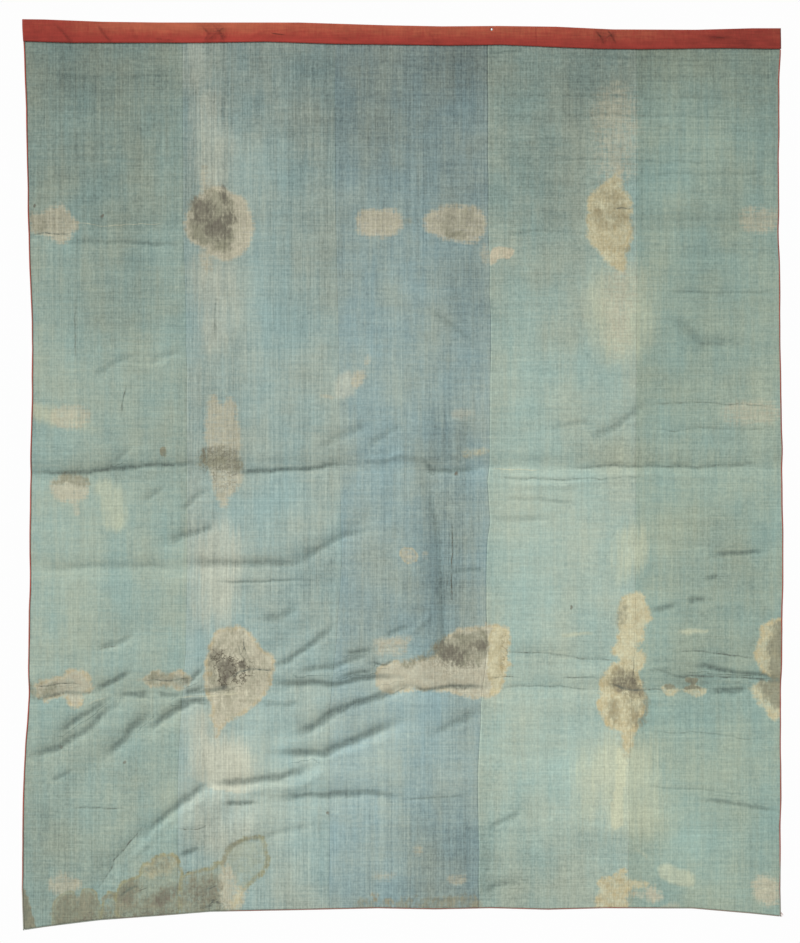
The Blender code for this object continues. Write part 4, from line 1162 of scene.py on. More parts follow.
def depth_inside(x, z, outline):
    """How far inside an outline each point lies, below zero outside it. The outline's
    corners are cut first."""
    points = np.array(outline) * (MM, -MM)
    for _ in range(CORNER_CUTS):
        after = np.roll(points, -1, axis=0)
        leaving = points * (1 - CORNER_SHARE) + after * CORNER_SHARE
        arriving = points * CORNER_SHARE + after * (1 - CORNER_SHARE)
        points = np.stack((leaving, arriving), axis=1).reshape(-1, 2)
    nearest = np.full(len(x), np.inf)
    inside = np.zeros(len(x), bool)
    for start, end in zip(points, np.roll(points, -1, axis=0)):
        step = end - start
        aside, above = x - start[0], z - start[1]
        along = np.clip((aside * step[0] + above * step[1]) / (step @ step), 0, 1)
        nearest = np.minimum(nearest, np.hypot(aside - along * step[0], above - along * step[1]))
        if step[1]:
            spans = (start[1] > z) != (end[1] > z)
            inside ^= spans & (x < start[0] + above * step[0] / step[1])
    return np.where(inside, nearest, -nearest)


def add_creases(piece, x, z, wrinkles):
    """Stores for each point how far off its nearest wrinkle lies, in half widths, and how
    strong that wrinkle's painted trough shade and its line are there."""
    side = np.full(len(x), CREASE_REACH)
    shade, line = np.zeros(len(x)), np.zeros(len(x))
    for wrinkle in wrinkles:
        if wrinkle.shade or wrinkle.line:
            half = wrinkle.half_width * MM
            near = near_route(x, z, wrinkle.route, CREASE_REACH * half)
            offset, share = route_offset(x[near], z[near], wrinkle.route)
            offset = offset / half
            closer = np.abs(offset) < np.abs(side[near])
            chosen, offset = near[closer], offset[closer]
            beside = soft_step(CREASE_FADED - np.abs(offset))
            strength = wrinkle_strength(share[closer]) * beside
            side[chosen] = offset
            shade[chosen] = wrinkle.shade * strength
            line[chosen] = wrinkle.line * strength
    keep_values(piece, "crease_side", side)
    keep_values(piece, "crease_shade", shade)
    keep_values(piece, "crease_line", line)


def add_marks(piece):
    """Stores what has happened to the cloth at each point of a width of the lining, with the
    painted shade and highlights of its seams, folds and creases.
    """
    x, _, z = points_of(piece)
    lines = seam_lines(z)
    tone = np.interp(-z / MM, [paleness_row.drop for paleness_row in PALENESS_DOWN], [paleness_row.share for paleness_row in PALENESS_DOWN])
    for patch in TONES:
        tone += patch.shift * in_oval(x, z, patch)
    # Painted shade beside each seam, and a painted highlight on its lap
    for seam in SEAMS:
        aside = (x - lines[seam.number]) / MM
        shade = np.exp(-((aside / SEAM_SHADE_WIDE) ** 2))
        shine = np.exp(-(((aside - SEAM_SHINE_FROM) / SEAM_SHINE_WIDE) ** 2))
        tone -= seam.shade * np.where(aside < 0, shade, 0)
        tone += seam.shine * np.where(aside >= 0, shine, 0)
    keep_values(piece, "tone", tone)
    worn_x, worn_z = wandering(x, z)
    worn_x += strayed(x, z, FRAY_ACROSS)
    worn_z += strayed(x, z, FRAY_UP)
    for kind, rows in STAINS.items():
        inside = np.full(len(x), -STAIN_LIMIT)
        depth, rim = np.zeros(len(x)), np.zeros(len(x))
        for stain in (Stain(*row) for row in rows):
            near = near_route(worn_x, worn_z, stain.outline, STAIN_REACH)
            here = depth_inside(worn_x[near], worn_z[near], stain.outline) / (stain.edge * MM)
            deeper = here > inside[near]
            inside[near[deeper]] = np.minimum(here[deeper], STAIN_LIMIT)
            depth[near[deeper]] = stain.depth
            rim[near[deeper]] = stain.rim
        keep_values(piece, kind, inside)
        keep_values(piece, kind + "_depth", depth)
        if kind in RIMMED_KINDS:
            keep_values(piece, kind + "_rim", rim)
    add_creases(piece, *wandering(x, z), WRINKLES)


def linear(hex_colour):
    """The linear colour of an sRGB hex value."""
    values = [int(hex_colour[place : place + 2], 16) / 255 for place in (1, 3, 5)]
    return [v / 12.92 if v <= 0.04045 else ((v + 0.055) / 1.055) ** 2.4 for v in values] + [1]


def add_node(tree, kind, inputs=(), slots=None, output=0, **settings):
    """Adds a node with its settings, and gives one of its outputs. Each input is a value or
    another node's output. They go to the first slots in order, or to the slots named."""
    node = tree.nodes.new("ShaderNode" + kind)
    for name, value in settings.items():
        setattr(node, name, value)
    for slot, value in zip(slots or range(len(inputs)), inputs):
        if isinstance(value, bpy.types.NodeSocket):
            tree.links.new(value, node.inputs[slot])
        else:
            node.inputs[slot].default_value = value
    return node.outputs[output]


# Settings that many nodes share: to mix two colours by a factor, to scale a colour by a
# tone, to ease a value between two limits, and to read a value stored at the points
MIX = {"data_type": "RGBA", "slots": (0, 6, 7), "output": 2}
SCALE = {"operation": "SCALE", "slots": (0, "Scale")}
EASED = {"interpolation_type": "SMOOTHSTEP"}
STORED = {"output": "Fac"}

# Cotton hardly shines, and its fine fluff gives it a soft sheen. Its yarns stand up a
# third of a millimetre.
CLOTH_SPECULAR, SHEEN_ROUGHNESS = 0.25, 0.5
BUMP_STRENGTH, WEAVE_BUMP = 0.5, 0.35 * MM


def new_matt_material(name, rough, sheen):
    """A matt material whose colour and bump are still to be given."""
    material = bpy.data.materials.new(name)
    material.use_nodes = True
    shader = material.node_tree.nodes["Principled BSDF"]
    shader.inputs["Roughness"].default_value = rough
    shader.inputs["Specular IOR Level"].default_value = CLOTH_SPECULAR
    shader.inputs["Sheen Weight"].default_value = sheen
    shader.inputs["Sheen Roughness"].default_value = SHEEN_ROUGHNESS
    return material, material.node_tree, shader


def link_cloth(tree, shader, colour, tone, yarn):
    """Gives a cloth its colour, scaled by its tone, and the relief of its yarn."""
    shaded = add_node(tree, "VectorMath", (colour, tone), **SCALE)
    raised = ("Strength", "Distance", "Height")
    bump = add_node(tree, "Bump", (BUMP_STRENGTH, WEAVE_BUMP, yarn), slots=raised)
    tree.links.new(shaded, shader.inputs["Base Color"])
    tree.links.new(bump, shader.inputs["Normal"])


def yarn_pattern(tree, wide, tall, detail):
    """Uneven streaks of yarn, about wide by tall millimetres, as values from 0 to 1."""
    place = add_node(tree, "TexCoord", output="Object")
    stretch = (1 / (wide * MM), 0, 1 / (tall * MM))
    scaled = add_node(tree, "Mapping", (place, stretch), slots=("Vector", "Scale"))
    sized = ("Vector", "Scale", "Detail")
    return add_node(tree, "TexNoise", (scaled, 1, detail), slots=sized)


def toned(tree, tone, streaks, depth_scale):
    """Adds streaks to a tone: each row gives their size and how far they change it."""
    for streak in streaks:
        pattern = yarn_pattern(tree, streak.wide, streak.tall, streak.detail)
        depth = streak.depth * depth_scale
        change = add_node(tree, "Math", (pattern, depth, -depth / 2), operation="MULTIPLY_ADD")
        tone = add_node(tree, "Math", (tone, change), operation="ADD")
    return tone


# The yarn is about 0.5 mm thick, which is far too fine to show, so the streaks that its
# thick and thin places make are drawn 3 mm wide and more
Streak = namedtuple("Streak", "wide tall detail depth")
WARP_STRIPES = (
    Streak(3.8, 90, 1, 0.42),
    Streak(4.6, 800, 1, 0.40),
    Streak(30, 1500, 2, 0.20),
)
SLUBS = (
    Streak(4.2, 10, 2, 0.50),
    Streak(12, 4.0, 2, 0.34),
    Streak(20, 13, 3, 0.30),
    Streak(90, 3.6, 1, 0.24),
    Streak(500, 5, 2, 0.24),
    Streak(700, 40, 2, 0.14),
    Streak(60, 80, 4, 0.22),
)

# The streaks stand out more where the cloth has kept its dye, and the pale ones are the
# more faded. The dye drifts between a width's two colours over the limits given.
STREAK_CONTRAST, STREAK_LOSS, STREAK_FADE = 2.5, 1.6, 0.25
BLOTCHES = (Streak(260, 320, 3, 0.12),)
DYE_DRIFT = (
    Streak(130, 170, 3, 0.9),
    Streak(12, 240, 2, 0.3),
    Streak(90, 8, 2, 0.2),
)
DRIFT_MIDDLE, DRIFT_LIMITS = 0.5, (0.2, 0.8)

# The patterns that break up a mark: along the yarns, in blotches and in smudges
GRAINS = {
    "cloud": (Streak(70, 170, 3, 1.5), Streak(8, 90, 3, 1.3)),
    "yarn": (Streak(6, 42, 3, 2.4), Streak(42, 6, 3, 2.4)),
    "blotch": (Streak(24, 26, 4, 2.6), Streak(7, 8, 3, 1.8)),
    "smudge": (Streak(34, 40, 4, 2.4), Streak(7, 13, 3, 1.8)),
}

# What each kind of mark turns the cloth to, in two shades, how ragged its edge is and how
# patchy its cover, and the colour of the rim where the damp stopped
Discolouring = namedtuple("Discolouring", "kind colour second grain ragged mottle rim")
DISCOLOURINGS = (
    Discolouring("pale", "#c7c4ae", "#bfc1ae", "cloud", 0.9, 1.0, None),
    Discolouring("cream", "#c9c6a6", "#bcc1a5", "cloud", 0.9, 1.0, None),
    Discolouring("beige", "#c5baa0", "#b4b19a", "yarn", 0.6, 1.2, None),
    Discolouring("tide", "#93967e", "#9ba38f", "blotch", 0.7, 1.2, "#908d6c"),
    Discolouring("tan", "#c3bea6", "#b4af99", "blotch", 0.6, 1.2, "#b9ab86"),
    Discolouring("straw", "#cbc5a3", "#b7af8e", "blotch", 0.6, 1.3, "#bcad85"),
    Discolouring("grime", "#7b7c69", "#8e8d78", "smudge", 0.9, 1.9, None),
    Discolouring("rust", "#8d7c5a", "#a5936a", "smudge", 1.0, 1.6, None),
    Discolouring("mould", "#605c50", "#777265", "smudge", 0.9, 1.7, None),
)

# How much of the cloth's tone shows through a mark. The limits of a mark's edge and of its
# rim are in edge widths, and those of its second shade are in its grain's values.
DEPOSIT_TONE = 0.6
EDGE_LIMITS, SHADE_LIMITS = (-1, 1), (-0.6, 0.6)
RIM_OUTER, RIM_INNER, RIM_MOTTLE = (-0.7, 0.4), (2.0, 0.7), 1.5

# The dark line in a crease, of dirt and painted shade, the pale line on it, rubbed and a
# painted highlight, and the painted shade of its trough. Widths are in the wrinkle's half
# widths, and the line breaks up between the limits of the grain.
CREASE_DIRT_AND_SHADE, RUBBED_AND_HIGHLIT, SHADOW = "#62645a", "#c9c6a8", "#6e867f"
LINE_WIDE, LINE_STRAY, LINE_BREAKS, LINE_MOTTLE = 0.42, 0.12, (-0.8, 0.3), 2
SHADE_WIDE, SHADE_DEPTH, SHADE_TINT = 0.95, 0.40, 0.35
CREASE_CORE = 0.1


def patchy(tree, cover, grain, mottle):
    """Makes the thin places of a cover patchy, and leaves its full and empty ones."""
    rest = add_node(tree, "Math", (1, cover), operation="SUBTRACT")
    thin = add_node(tree, "Math", (cover, rest), operation="MULTIPLY")
    thin = add_node(tree, "Math", (thin, 2 * mottle), operation="MULTIPLY")
    return add_node(tree, "Math", (grain, thin, cover), operation="MULTIPLY_ADD", use_clamp=True)


def covered(tree, kind, inside):
    """How much one kind of mark covers, from how far inside it each place lies."""
    depth = add_node(tree, "Attribute", attribute_name=kind + "_depth", **STORED)
    cover = add_node(tree, "MapRange", (inside, *EDGE_LIMITS), **EASED)
    return add_node(tree, "Math", (cover, depth), operation="MULTIPLY")


def stained(tree, colour, tone, mark, grain):
    """Lays one kind of mark over a colour."""
    inside = add_node(tree, "Attribute", attribute_name=mark.kind, **STORED)
    inside = add_node(tree, "Math", (grain, mark.ragged, inside), operation="MULTIPLY_ADD")
    cover = patchy(tree, covered(tree, mark.kind, inside), grain, mark.mottle)
    second = add_node(tree, "MapRange", (grain, *SHADE_LIMITS), **EASED)
    deposit = add_node(tree, "Mix", (second, linear(mark.colour), linear(mark.second)), **MIX)
    deposit = add_node(tree, "VectorMath", (deposit, tone), **SCALE)
    colour = add_node(tree, "Mix", (cover, colour, deposit), **MIX)
    if mark.rim:
        outer = add_node(tree, "MapRange", (inside, *RIM_OUTER), **EASED)
        inner = add_node(tree, "MapRange", (inside, *RIM_INNER), **EASED)
        rim = add_node(tree, "Math", (outer, inner), operation="MULTIPLY")
        strength = add_node(tree, "Attribute", attribute_name=mark.kind + "_rim", **STORED)
        rim = add_node(tree, "Math", (rim, strength), operation="MULTIPLY")
        rim = patchy(tree, rim, grain, RIM_MOTTLE)
        colour = add_node(tree, "Mix", (rim, colour, linear(mark.rim)), **MIX)
    return colour


# Where damp left the cloth stiff it has crumpled, with dirt in its fine sharp creases: size
# of the crumples, and how far to each side of a crease its line reaches
CRUMPLE_WIDE, CRUMPLE_TALL, CRUMPLE_DETAIL = 26, 20, 5
CRUMPLE_MIDDLE, CRUMPLE_LINE = 0.5, 0.032
CRUMPLE_SOIL = "#4f493d"


def crumpled(tree, colour):
    """Draws the dirty creases of the crumpled places."""
    pattern = yarn_pattern(tree, CRUMPLE_WIDE, CRUMPLE_TALL, CRUMPLE_DETAIL)
    away = add_node(tree, "Math", (pattern, CRUMPLE_MIDDLE), operation="SUBTRACT")
    away = add_node(tree, "Math", (away,), operation="ABSOLUTE")
    line = add_node(tree, "MapRange", (away, CRUMPLE_LINE, 0), **EASED)
    inside = add_node(tree, "Attribute", attribute_name="crumple", **STORED)
    cover = covered(tree, "crumple", inside)
    line = add_node(tree, "Math", (line, cover), operation="MULTIPLY")
    return add_node(tree, "Mix", (line, colour, linear(CRUMPLE_SOIL)), **MIX)


def creased(tree, colour, tone, grain, dirt_and_shade, rubbed_and_highlit, shadow):
    """Draws the lines along the wrinkles, dark ones of dirt and painted shade and pale ones
    rubbed and painted highlight, and paints shade into their troughs.
    """
    side = add_node(tree, "Attribute", attribute_name="crease_side", **STORED)
    away = add_node(tree, "Math", (grain, LINE_STRAY, side), operation="MULTIPLY_ADD")
    away = add_node(tree, "Math", (away,), operation="ABSOLUTE")
    line = add_node(tree, "MapRange", (away, LINE_WIDE, CREASE_CORE), **EASED)
    strength = add_node(tree, "Attribute", attribute_name="crease_line", **STORED)
    line = add_node(tree, "Math", (line, strength), operation="MULTIPLY")
    breaks = add_node(tree, "MapRange", (grain, *LINE_BREAKS), **EASED)
    line = add_node(tree, "Math", (line, breaks), operation="MULTIPLY")
    dirty = patchy(tree, line, grain, LINE_MOTTLE)
    colour = add_node(tree, "Mix", (dirty, colour, linear(dirt_and_shade)), **MIX)
    paler = add_node(tree, "Math", (line, -1), operation="MULTIPLY")
    colour = add_node(tree, "Mix", (paler, colour, linear(rubbed_and_highlit)), **MIX)
    shade = add_node(tree, "MapRange", (away, SHADE_WIDE, CREASE_CORE), **EASED)
    depth = add_node(tree, "Attribute", attribute_name="crease_shade", **STORED)
    shade = add_node(tree, "Math", (shade, depth), operation="MULTIPLY")
    tint = add_node(tree, "Math", (shade, SHADE_TINT), operation="MULTIPLY")
    colour = add_node(tree, "Mix", (tint, colour, linear(shadow)), **MIX)
    tone = add_node(tree, "Math", (shade, -SHADE_DEPTH, tone), operation="MULTIPLY_ADD")
    return colour, tone


def faded_indigo_cotton(name, loom_width):
    """Plain-weave cotton dyed with indigo, faded and stained: quite matt, and streaked both
    ways by its uneven hand-spun yarn, with painted shade and highlights at its seams, folds
    and creases."""
    material, tree, shader = new_matt_material(name, rough=0.9, sheen=0.12)
    tone = add_node(tree, "Attribute", attribute_name="tone", **STORED)
    # worn is the stored tone, painted shade and highlights included, with broad blotches
    worn = toned(tree, tone, BLOTCHES, 1)
    streaks = toned(tree, toned(tree, 0, SLUBS, 1), WARP_STRIPES, loom_width.stripes)
    swing = (worn, -STREAK_LOSS, STREAK_CONTRAST)
    contrast = add_node(tree, "Math", swing, operation="MULTIPLY_ADD")
    yarn = add_node(tree, "Math", (streaks, contrast, 1), operation="MULTIPLY_ADD")
    swing = (streaks, STREAK_FADE, DRIFT_MIDDLE)
    faded = add_node(tree, "Math", swing, operation="MULTIPLY_ADD")
    drift = toned(tree, faded, DYE_DRIFT, 1)
    drift = add_node(tree, "MapRange", (drift, *DRIFT_LIMITS), **EASED)
    dyes = (drift, linear(loom_width.dye), linear(loom_width.faded))
    colour = add_node(tree, "Mix", dyes, **MIX)
    colour = add_node(tree, "VectorMath", (colour, worn), **SCALE)
    grains = {grain: toned(tree, 0, streaks, 1) for grain, streaks in GRAINS.items()}
    swing = (worn, DEPOSIT_TONE, loom_width.marks - DEPOSIT_TONE)
    deposit_tone = add_node(tree, "Math", swing, operation="MULTIPLY_ADD")
    for mark in DISCOLOURINGS:
        colour = stained(tree, colour, deposit_tone, mark, grains[mark.grain])
    colour = crumpled(tree, colour)
    colour, tone = creased(tree, colour, yarn, grains["blotch"], CREASE_DIRT_AND_SHADE, RUBBED_AND_HIGHLIT, SHADOW)
    link_cloth(tree, shader, colour, tone, yarn)
    return material


# The dye bath differed from width to width, and so does how streaky the yarn is. Each has
# a bluer colour, where the indigo held, and a greener one where it faded, and takes the
# marks a little darker or paler.
LoomWidth = namedtuple("LoomWidth", "dye faded stripes marks")
LOOM_WIDTHS = (
    LoomWidth("#90a9a2", "#a1ac9b", 0.8, 1.0),
    LoomWidth("#92aba8", "#a3aea1", 1.1, 1.0),
    LoomWidth("#8ea8aa", "#9faca1", 0.95, 1.02),
    LoomWidth("#9ab3ab", "#abb6a5", 0.6, 1.06),
    LoomWidth("#8ba59d", "#9ca997", 0.65, 1.02),
)

# A nail hole goes through the heading and the cloths behind it, in the fourth width
HOLE_ACROSS, HOLE_DROP, HOLE_RADIUS = 234 * MM, 10.5 * MM, 4.0 * MM
HOLED_WIDTH = 4


def cut_hole(piece, reach):
    """Takes out the cloth at the nail hole, and draws the cut edge into a ring."""
    bm = bmesh.new()
    bm.from_mesh(piece.data)
    inside = []
    for face in bm.faces:
        centre = face.calc_center_median()
        if hypot(centre.x - HOLE_ACROSS, centre.z + HOLE_DROP) < reach:
            inside.append(face)
    corners = {vert for face in inside for vert in face.verts}
    bmesh.ops.delete(bm, geom=inside, context="FACES")
    for vert in corners:
        if vert.is_valid:
            aside, above = vert.co.x - HOLE_ACROSS, vert.co.z + HOLE_DROP
            ring = HOLE_RADIUS / max(hypot(aside, above), MM)
            vert.co.x = HOLE_ACROSS + aside * ring
            vert.co.z = above * ring - HOLE_DROP
    bm.to_mesh(piece.data)
    bm.free()


even_rows = spread(LINING_ROWS_FROM, FINER_BELOW, WEFT_SPACING_UPPER)
even_rows += spread(FINER_BELOW, LINING_ROWS_TO, WEFT_SPACING_LOWER)
lining_rows = rows_down((-CLOTH_ENDS, -RIM), even_rows, (RIM, CLOTH_ENDS))
for width, loom_width in enumerate(LOOM_WIDTHS):
    number = width + 1
    lining = woven_piece(f"lining_width_{number}", width_columns(width), lining_rows, lining_place)
    add_marks(lining)
    if number == HOLED_WIDTH:
        cut_hole(lining, HOLE_RADIUS)
    cotton = faded_indigo_cotton(f"faded_indigo_cotton_{number}", loom_width)
    lining.data.materials.append(cotton)
    give_thickness(lining, LINING_THICK)
    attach(lining, "root")
    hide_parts(f"lining_{number}")

# The face cloth
#
# The side that hung towards the room: a plain red cotton ground, thicker than the lining.
# The photograph shows nothing of its work, so it is left plain. It lies loosely against
# the lining, and the two are held together by the heading and the edging.

FACE_THICK = 1.2 * MM
FACE_FRONT = -GAP / 2
FACE_SPACING = 12.0
FACE_ROWS_FROM, FACE_ROWS_TO = 16, CLOTH_TALL - 14
FACE_BRIDGES = 5.0  # how much wider it bridges the lining's fine troughs
FACE_HOLE = 0.6 * FACE_SPACING * MM
FACE_RED = "#8a3a33"
FACE_STREAKS = (
    Streak(5, 200, 2, 0.30),
    Streak(40, 700, 1, 0.12),
    Streak(200, 5, 2, 0.30),
    Streak(300, 260, 3, 0.25),
)

# A cloth that crosses all five widths has even columns from 12 mm inside each side edge,
# on an outer width of 420 mm
LOOM_WIDE = 400
SIDE_SHARE = 12 / 420


def columns_across(side_shifts, spacing):
    """Columns across the whole hanging: those set from its left edge, even ones about
    spacing apart, and those set from its right edge in the same way."""
    even = spread(SIDE_SHARE, WIDTHS - SIDE_SHARE, spacing / LOOM_WIDE)
    columns = [(0, shift) for shift in side_shifts]
    columns += [(place, 0) for place in (*even, WIDTHS - SIDE_SHARE)]
    return columns + [(WIDTHS, -shift) for shift in reversed(side_shifts)]


def face_place(across, down):
    """Places the side of the face cloth that lies against the lining."""
    x, z = crossing(across, down)
    return x, -relief(x, z, FACE_BRIDGES) - FACE_FRONT, z


def plain_red_cotton(name, dye, streaks):
    """Plain-weave cotton in a madder red: matt, with streaky yarn."""
    material, tree, shader = new_matt_material(name, rough=0.92, sheen=0.15)
    yarn = toned(tree, 1, streaks, 1)
    link_cloth(tree, shader, linear(dye)[:3], yarn, yarn)
    return material


face_rows = spread(FACE_ROWS_FROM, FACE_ROWS_TO, FACE_SPACING)
face_rows = rows_down((-CLOTH_ENDS, -RIM), face_rows, (RIM, CLOTH_ENDS))
face_columns = columns_across((CLOTH_ENDS, RIM), FACE_SPACING)
face = woven_piece("face_sheet", face_columns, face_rows, face_place)
cut_hole(face, FACE_HOLE)
face.data.materials.append(plain_red_cotton("plain_red_cotton", FACE_RED, FACE_STREAKS))
give_thickness(face, FACE_THICK)
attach(face, "root")
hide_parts("face_cloth")

# The heading
#
# A strip of brick-red cotton folded over the top edge and felled down on the lining with
# small slanting stitches. Light has taken its upper half to orange, and it is rumpled
# where it was nailed up.

BINDING_THICK = 1.0 * MM
FOLD_CENTRE = (LINING_THICK - FACE_THICK) / 2
FOLD_OUTER = (LINING_THICK + FACE_THICK + GAP) / 2 + GAP + BINDING_THICK
FOLD_STEPS = 8
HEADING_BACK = 14.0 * MM
HEADING_SPACING = 5.0
HEADING_ROW_SHARE = 0.08
MADDER, BLEACHED_MADDER, HEADING_LINE_DIRT_AND_SHADE = "#98382e", "#ab5b41", "#5a2a22"

# The heading is rumpled all over, in full from a third of the way down its front, and its
# lower edge stands a little off the lining
HEADING_RUMPLE, RUMPLE_SLOPE = Patches(60, 40, 0.5, 51), 3
EDGE_LIFT = Patches(45, 400, 0.5, 52)
HEADING_LIFT = EDGE_LIFT.strength * MM

# How far below the middle of the top edge the heading's lower edge lies
LowerEdge = namedtuple("LowerEdge", "across drop")
LOWER_EDGES = (
    LowerEdge(-991, 42),
    LowerEdge(-873, 46),
    LowerEdge(-531, 46),
    LowerEdge(-360, 43),
    LowerEdge(-176, 49),
    LowerEdge(-5, 51),
    LowerEdge(126, 53),
    LowerEdge(258, 51),
    LowerEdge(415, 58),
    LowerEdge(521, 62),
    LowerEdge(626, 63),
    LowerEdge(836, 60),
    LowerEdge(994, 62),
)
LOWER_TABLE = np.array(LOWER_EDGES) * MM
# The heading's wrinkles stand out as ridges, and the shade along them is painted shade
HEADING_WRINKLES = [Wrinkle(*row) for row in (
    (8, 1.6, 0.45, 0.15, ((-912, -2), (-888, 20), (-868, 46))),
    (7, 1.8, 0.5, 0.2, ((-800, -2), (-786, 20), (-764, 44))),
    (10, 1.2, 0.3, 0, ((-716, -2), (-696, 40))),
    (6, 1.2, 0.3, 0.2, ((-655, 34), (-600, 40))),
    (6, 2.0, 0.4, 0.15, ((-525, 2), (-508, 22), (-520, 44))),
    (6, 2.2, 0.4, 0.25, ((-496, -2), (-480, 18), (-468, 42))),
    (5, 1.8, 0.3, 0.15, ((-510, 40), (-474, 8))),
    (4, 1.4, 0.3, 0.3, ((-480, -2), (-470, 8), (-482, 16), (-468, 26), (-478, 36))),
    (6, 1.5, 0.2, 0, ((-400, 30), (-365, 18))),
    (4, 1.0, 0.4, 0.9, ((-342, 21), (-310, 25))),
    (6, 1.2, 0.2, 0, ((-200, 15), (-140, 40))),
    (7, 1.2, 0.2, 0, ((60, 10), (90, 46))),
    (2.5, -0.3, 0.3, 0.6, ((350, 2), (351, 54))),
    (6, 1.5, 0.4, 0.3, ((505, 12), (520, 30), (530, 50))),
    (6, 1.6, 0.4, 0.3, ((537, 10), (548, 26), (560, 48))),
    (4, 1.2, 0.3, 0.4, ((530, 36), (556, 20))),
    (4, 1.0, 0.4, 0.6, ((806, 31), (846, 33))),
    (8, 1.4, 0.2, 0, ((700, 10), (720, 50))),
    (8, 1.2, 0.25, 0, ((866, 30), (900, 48))),
)]

# Along the heading: how deep its red is, and how far light has bleached its upper part
Wear = namedtuple("Wear", "across tone bleach")
HEADING_WEAR = (
    Wear(-997, 0.92, 0.10),
    Wear(-880, 0.92, 0.15),
    Wear(-840, 0.98, 0.45),
    Wear(-780, 1.00, 0.70),
    Wear(-700, 1.05, 0.90),
    Wear(-560, 1.10, 1.00),
    Wear(-500, 1.00, 0.80),
    Wear(-440, 1.13, 0.90),
    Wear(-300, 1.06, 0.65),
    Wear(-140, 1.02, 0.60),
    Wear(126, 0.98, 0.65),
    Wear(310, 0.97, 0.65),
    Wear(415, 0.95, 0.40),
    Wear(520, 0.89, 0.50),
    Wear(600, 0.91, 0.50),
    Wear(730, 0.87, 0.18),
    Wear(836, 0.80, 0.12),
    Wear(930, 0.76, 0.10),
    Wear(994, 0.77, 0.25),
)
# Darker and paler patches on the heading, partly dirt and partly painted shade in its rumples
HEADING_DIRT_AND_SHADE = [Tone(*row) for row in (
    (-500, 16, 24, 26, -0.11),
    (-472, 22, 12, 30, -0.12),
    (-640, 34, 26, 10, -0.08),
    (-420, 43, 200, 9, 0.14),
    (518, 30, 18, 26, -0.20),
    (552, 34, 8, 24, -0.16),
    (826, 32, 34, 6, -0.20),
    (-955, 40, 40, 16, -0.06),
    (880, 44, 40, 12, -0.08),
    (-120, 20, 60, 8, -0.08),
    (80, 40, 50, 10, -0.08),
    (310, 60, 30, 8, -0.10),
)]

# How the bleaching fades down the heading's height, and how patchy it is
SUN_SLOPE, SUN_START, SUN_MOTTLE = 1.4, 0.2, 0.8


def fold_rows():
    """Rows over a fold, from its back to its front, as distances in from the outline and
    lifts towards the viewer."""
    rows = []
    for step in range(FOLD_STEPS + 1):
        turn = radians(180 * step / FOLD_STEPS - 90)
        rows.append((FOLD_OUTER - FOLD_OUTER * cos(turn), FOLD_CENTRE + FOLD_OUTER * sin(turn)))
    return rows


def heading_place(across, row):
    """Places the heading's outer side. A row of the back leg or of the fold is given by its
    distance in from the outline and its lift, one of the front leg by its share."""
    inwards, lift, share_down = row.T
    x, z = crossing(across, np.stack((np.zeros(len(row)), -inwards), axis=1))
    front = share_down >= 0
    lower = -np.interp(x, LOWER_TABLE[:, 0], LOWER_TABLE[:, 1])
    top = height_at(np.zeros(len(x)), -FOLD_OUTER, x)
    z = np.where(front, top + (lower - top) * share_down, z)
    x = np.where(front, across_at(across[:, 0], across[:, 1], z), x)
    rise = np.zeros(len(x))
    for wrinkle in HEADING_WRINKLES:
        offset, share = route_offset(x, z, wrinkle.route)
        height = wrinkle.rise * MM * wrinkle_strength(share)
        rise += height * np.exp(-((offset / (wrinkle.half_width * MM)) ** 2))
    rise += HEADING_RUMPLE.strength * MM * (1 + cloth_noise(x, z, HEADING_RUMPLE))
    rise += HEADING_LIFT * np.clip(share_down, 0, 1) ** 3 * (1 + cloth_noise(x, z, EDGE_LIFT))
    rumple = np.where(front, rise * soft_step(share_down * RUMPLE_SLOPE), 0)
    return x, -relief(x, z) - lift - rumple, z


def add_heading_marks(piece):
    """Stores how sun-bleached and how dirty the heading is at each point."""
    x, _, z = points_of(piece)
    lower = -np.interp(x, LOWER_TABLE[:, 0], LOWER_TABLE[:, 1])
    top = height_at(np.zeros(len(x)), 0, x)
    place, tone, bleach = np.array(HEADING_WEAR).T
    upper = soft_step((z - lower) / (top - lower) * SUN_SLOPE - SUN_START)
    keep_values(piece, "sun", np.interp(x / MM, place, bleach) * upper)
    tone = np.interp(x / MM, place, tone)
    for patch in HEADING_DIRT_AND_SHADE:
        tone += patch.shift * in_oval(x, z, patch)
    keep_values(piece, "tone", tone)
    add_creases(piece, x, z, HEADING_WRINKLES)


HEADING_STREAKS = (
    Streak(3.5, 14, 2, 0.30),
    Streak(60, 3.5, 2, 0.30),
    Streak(120, 7, 2, 0.24),
    Streak(34, 22, 4, 0.44),
)


def madder_red_cotton(name, dye, bleached):
    """Cotton dyed brick red with madder: matt, worn to a paler orange where light fell, with
    painted shade along its wrinkles.
    """
    material, tree, shader = new_matt_material(name, rough=0.9, sheen=0.15)
    tone = add_node(tree, "Attribute", attribute_name="tone", **STORED)
    yarn = toned(tree, tone, HEADING_STREAKS, 1)
    grain = toned(tree, 0, GRAINS["yarn"], 1)
    sun = add_node(tree, "Attribute", attribute_name="sun", **STORED)
    sun = patchy(tree, sun, grain, SUN_MOTTLE)
    colour = add_node(tree, "Mix", (sun, linear(dye), linear(bleached)), **MIX)
    # Its wrinkles get dark lines of dirt and painted shade, and painted shade in their troughs
    colour, tone = creased(tree, colour, yarn, grain, HEADING_LINE_DIRT_AND_SHADE, bleached, dye)
    link_cloth(tree, shader, colour, tone, yarn)
    return material


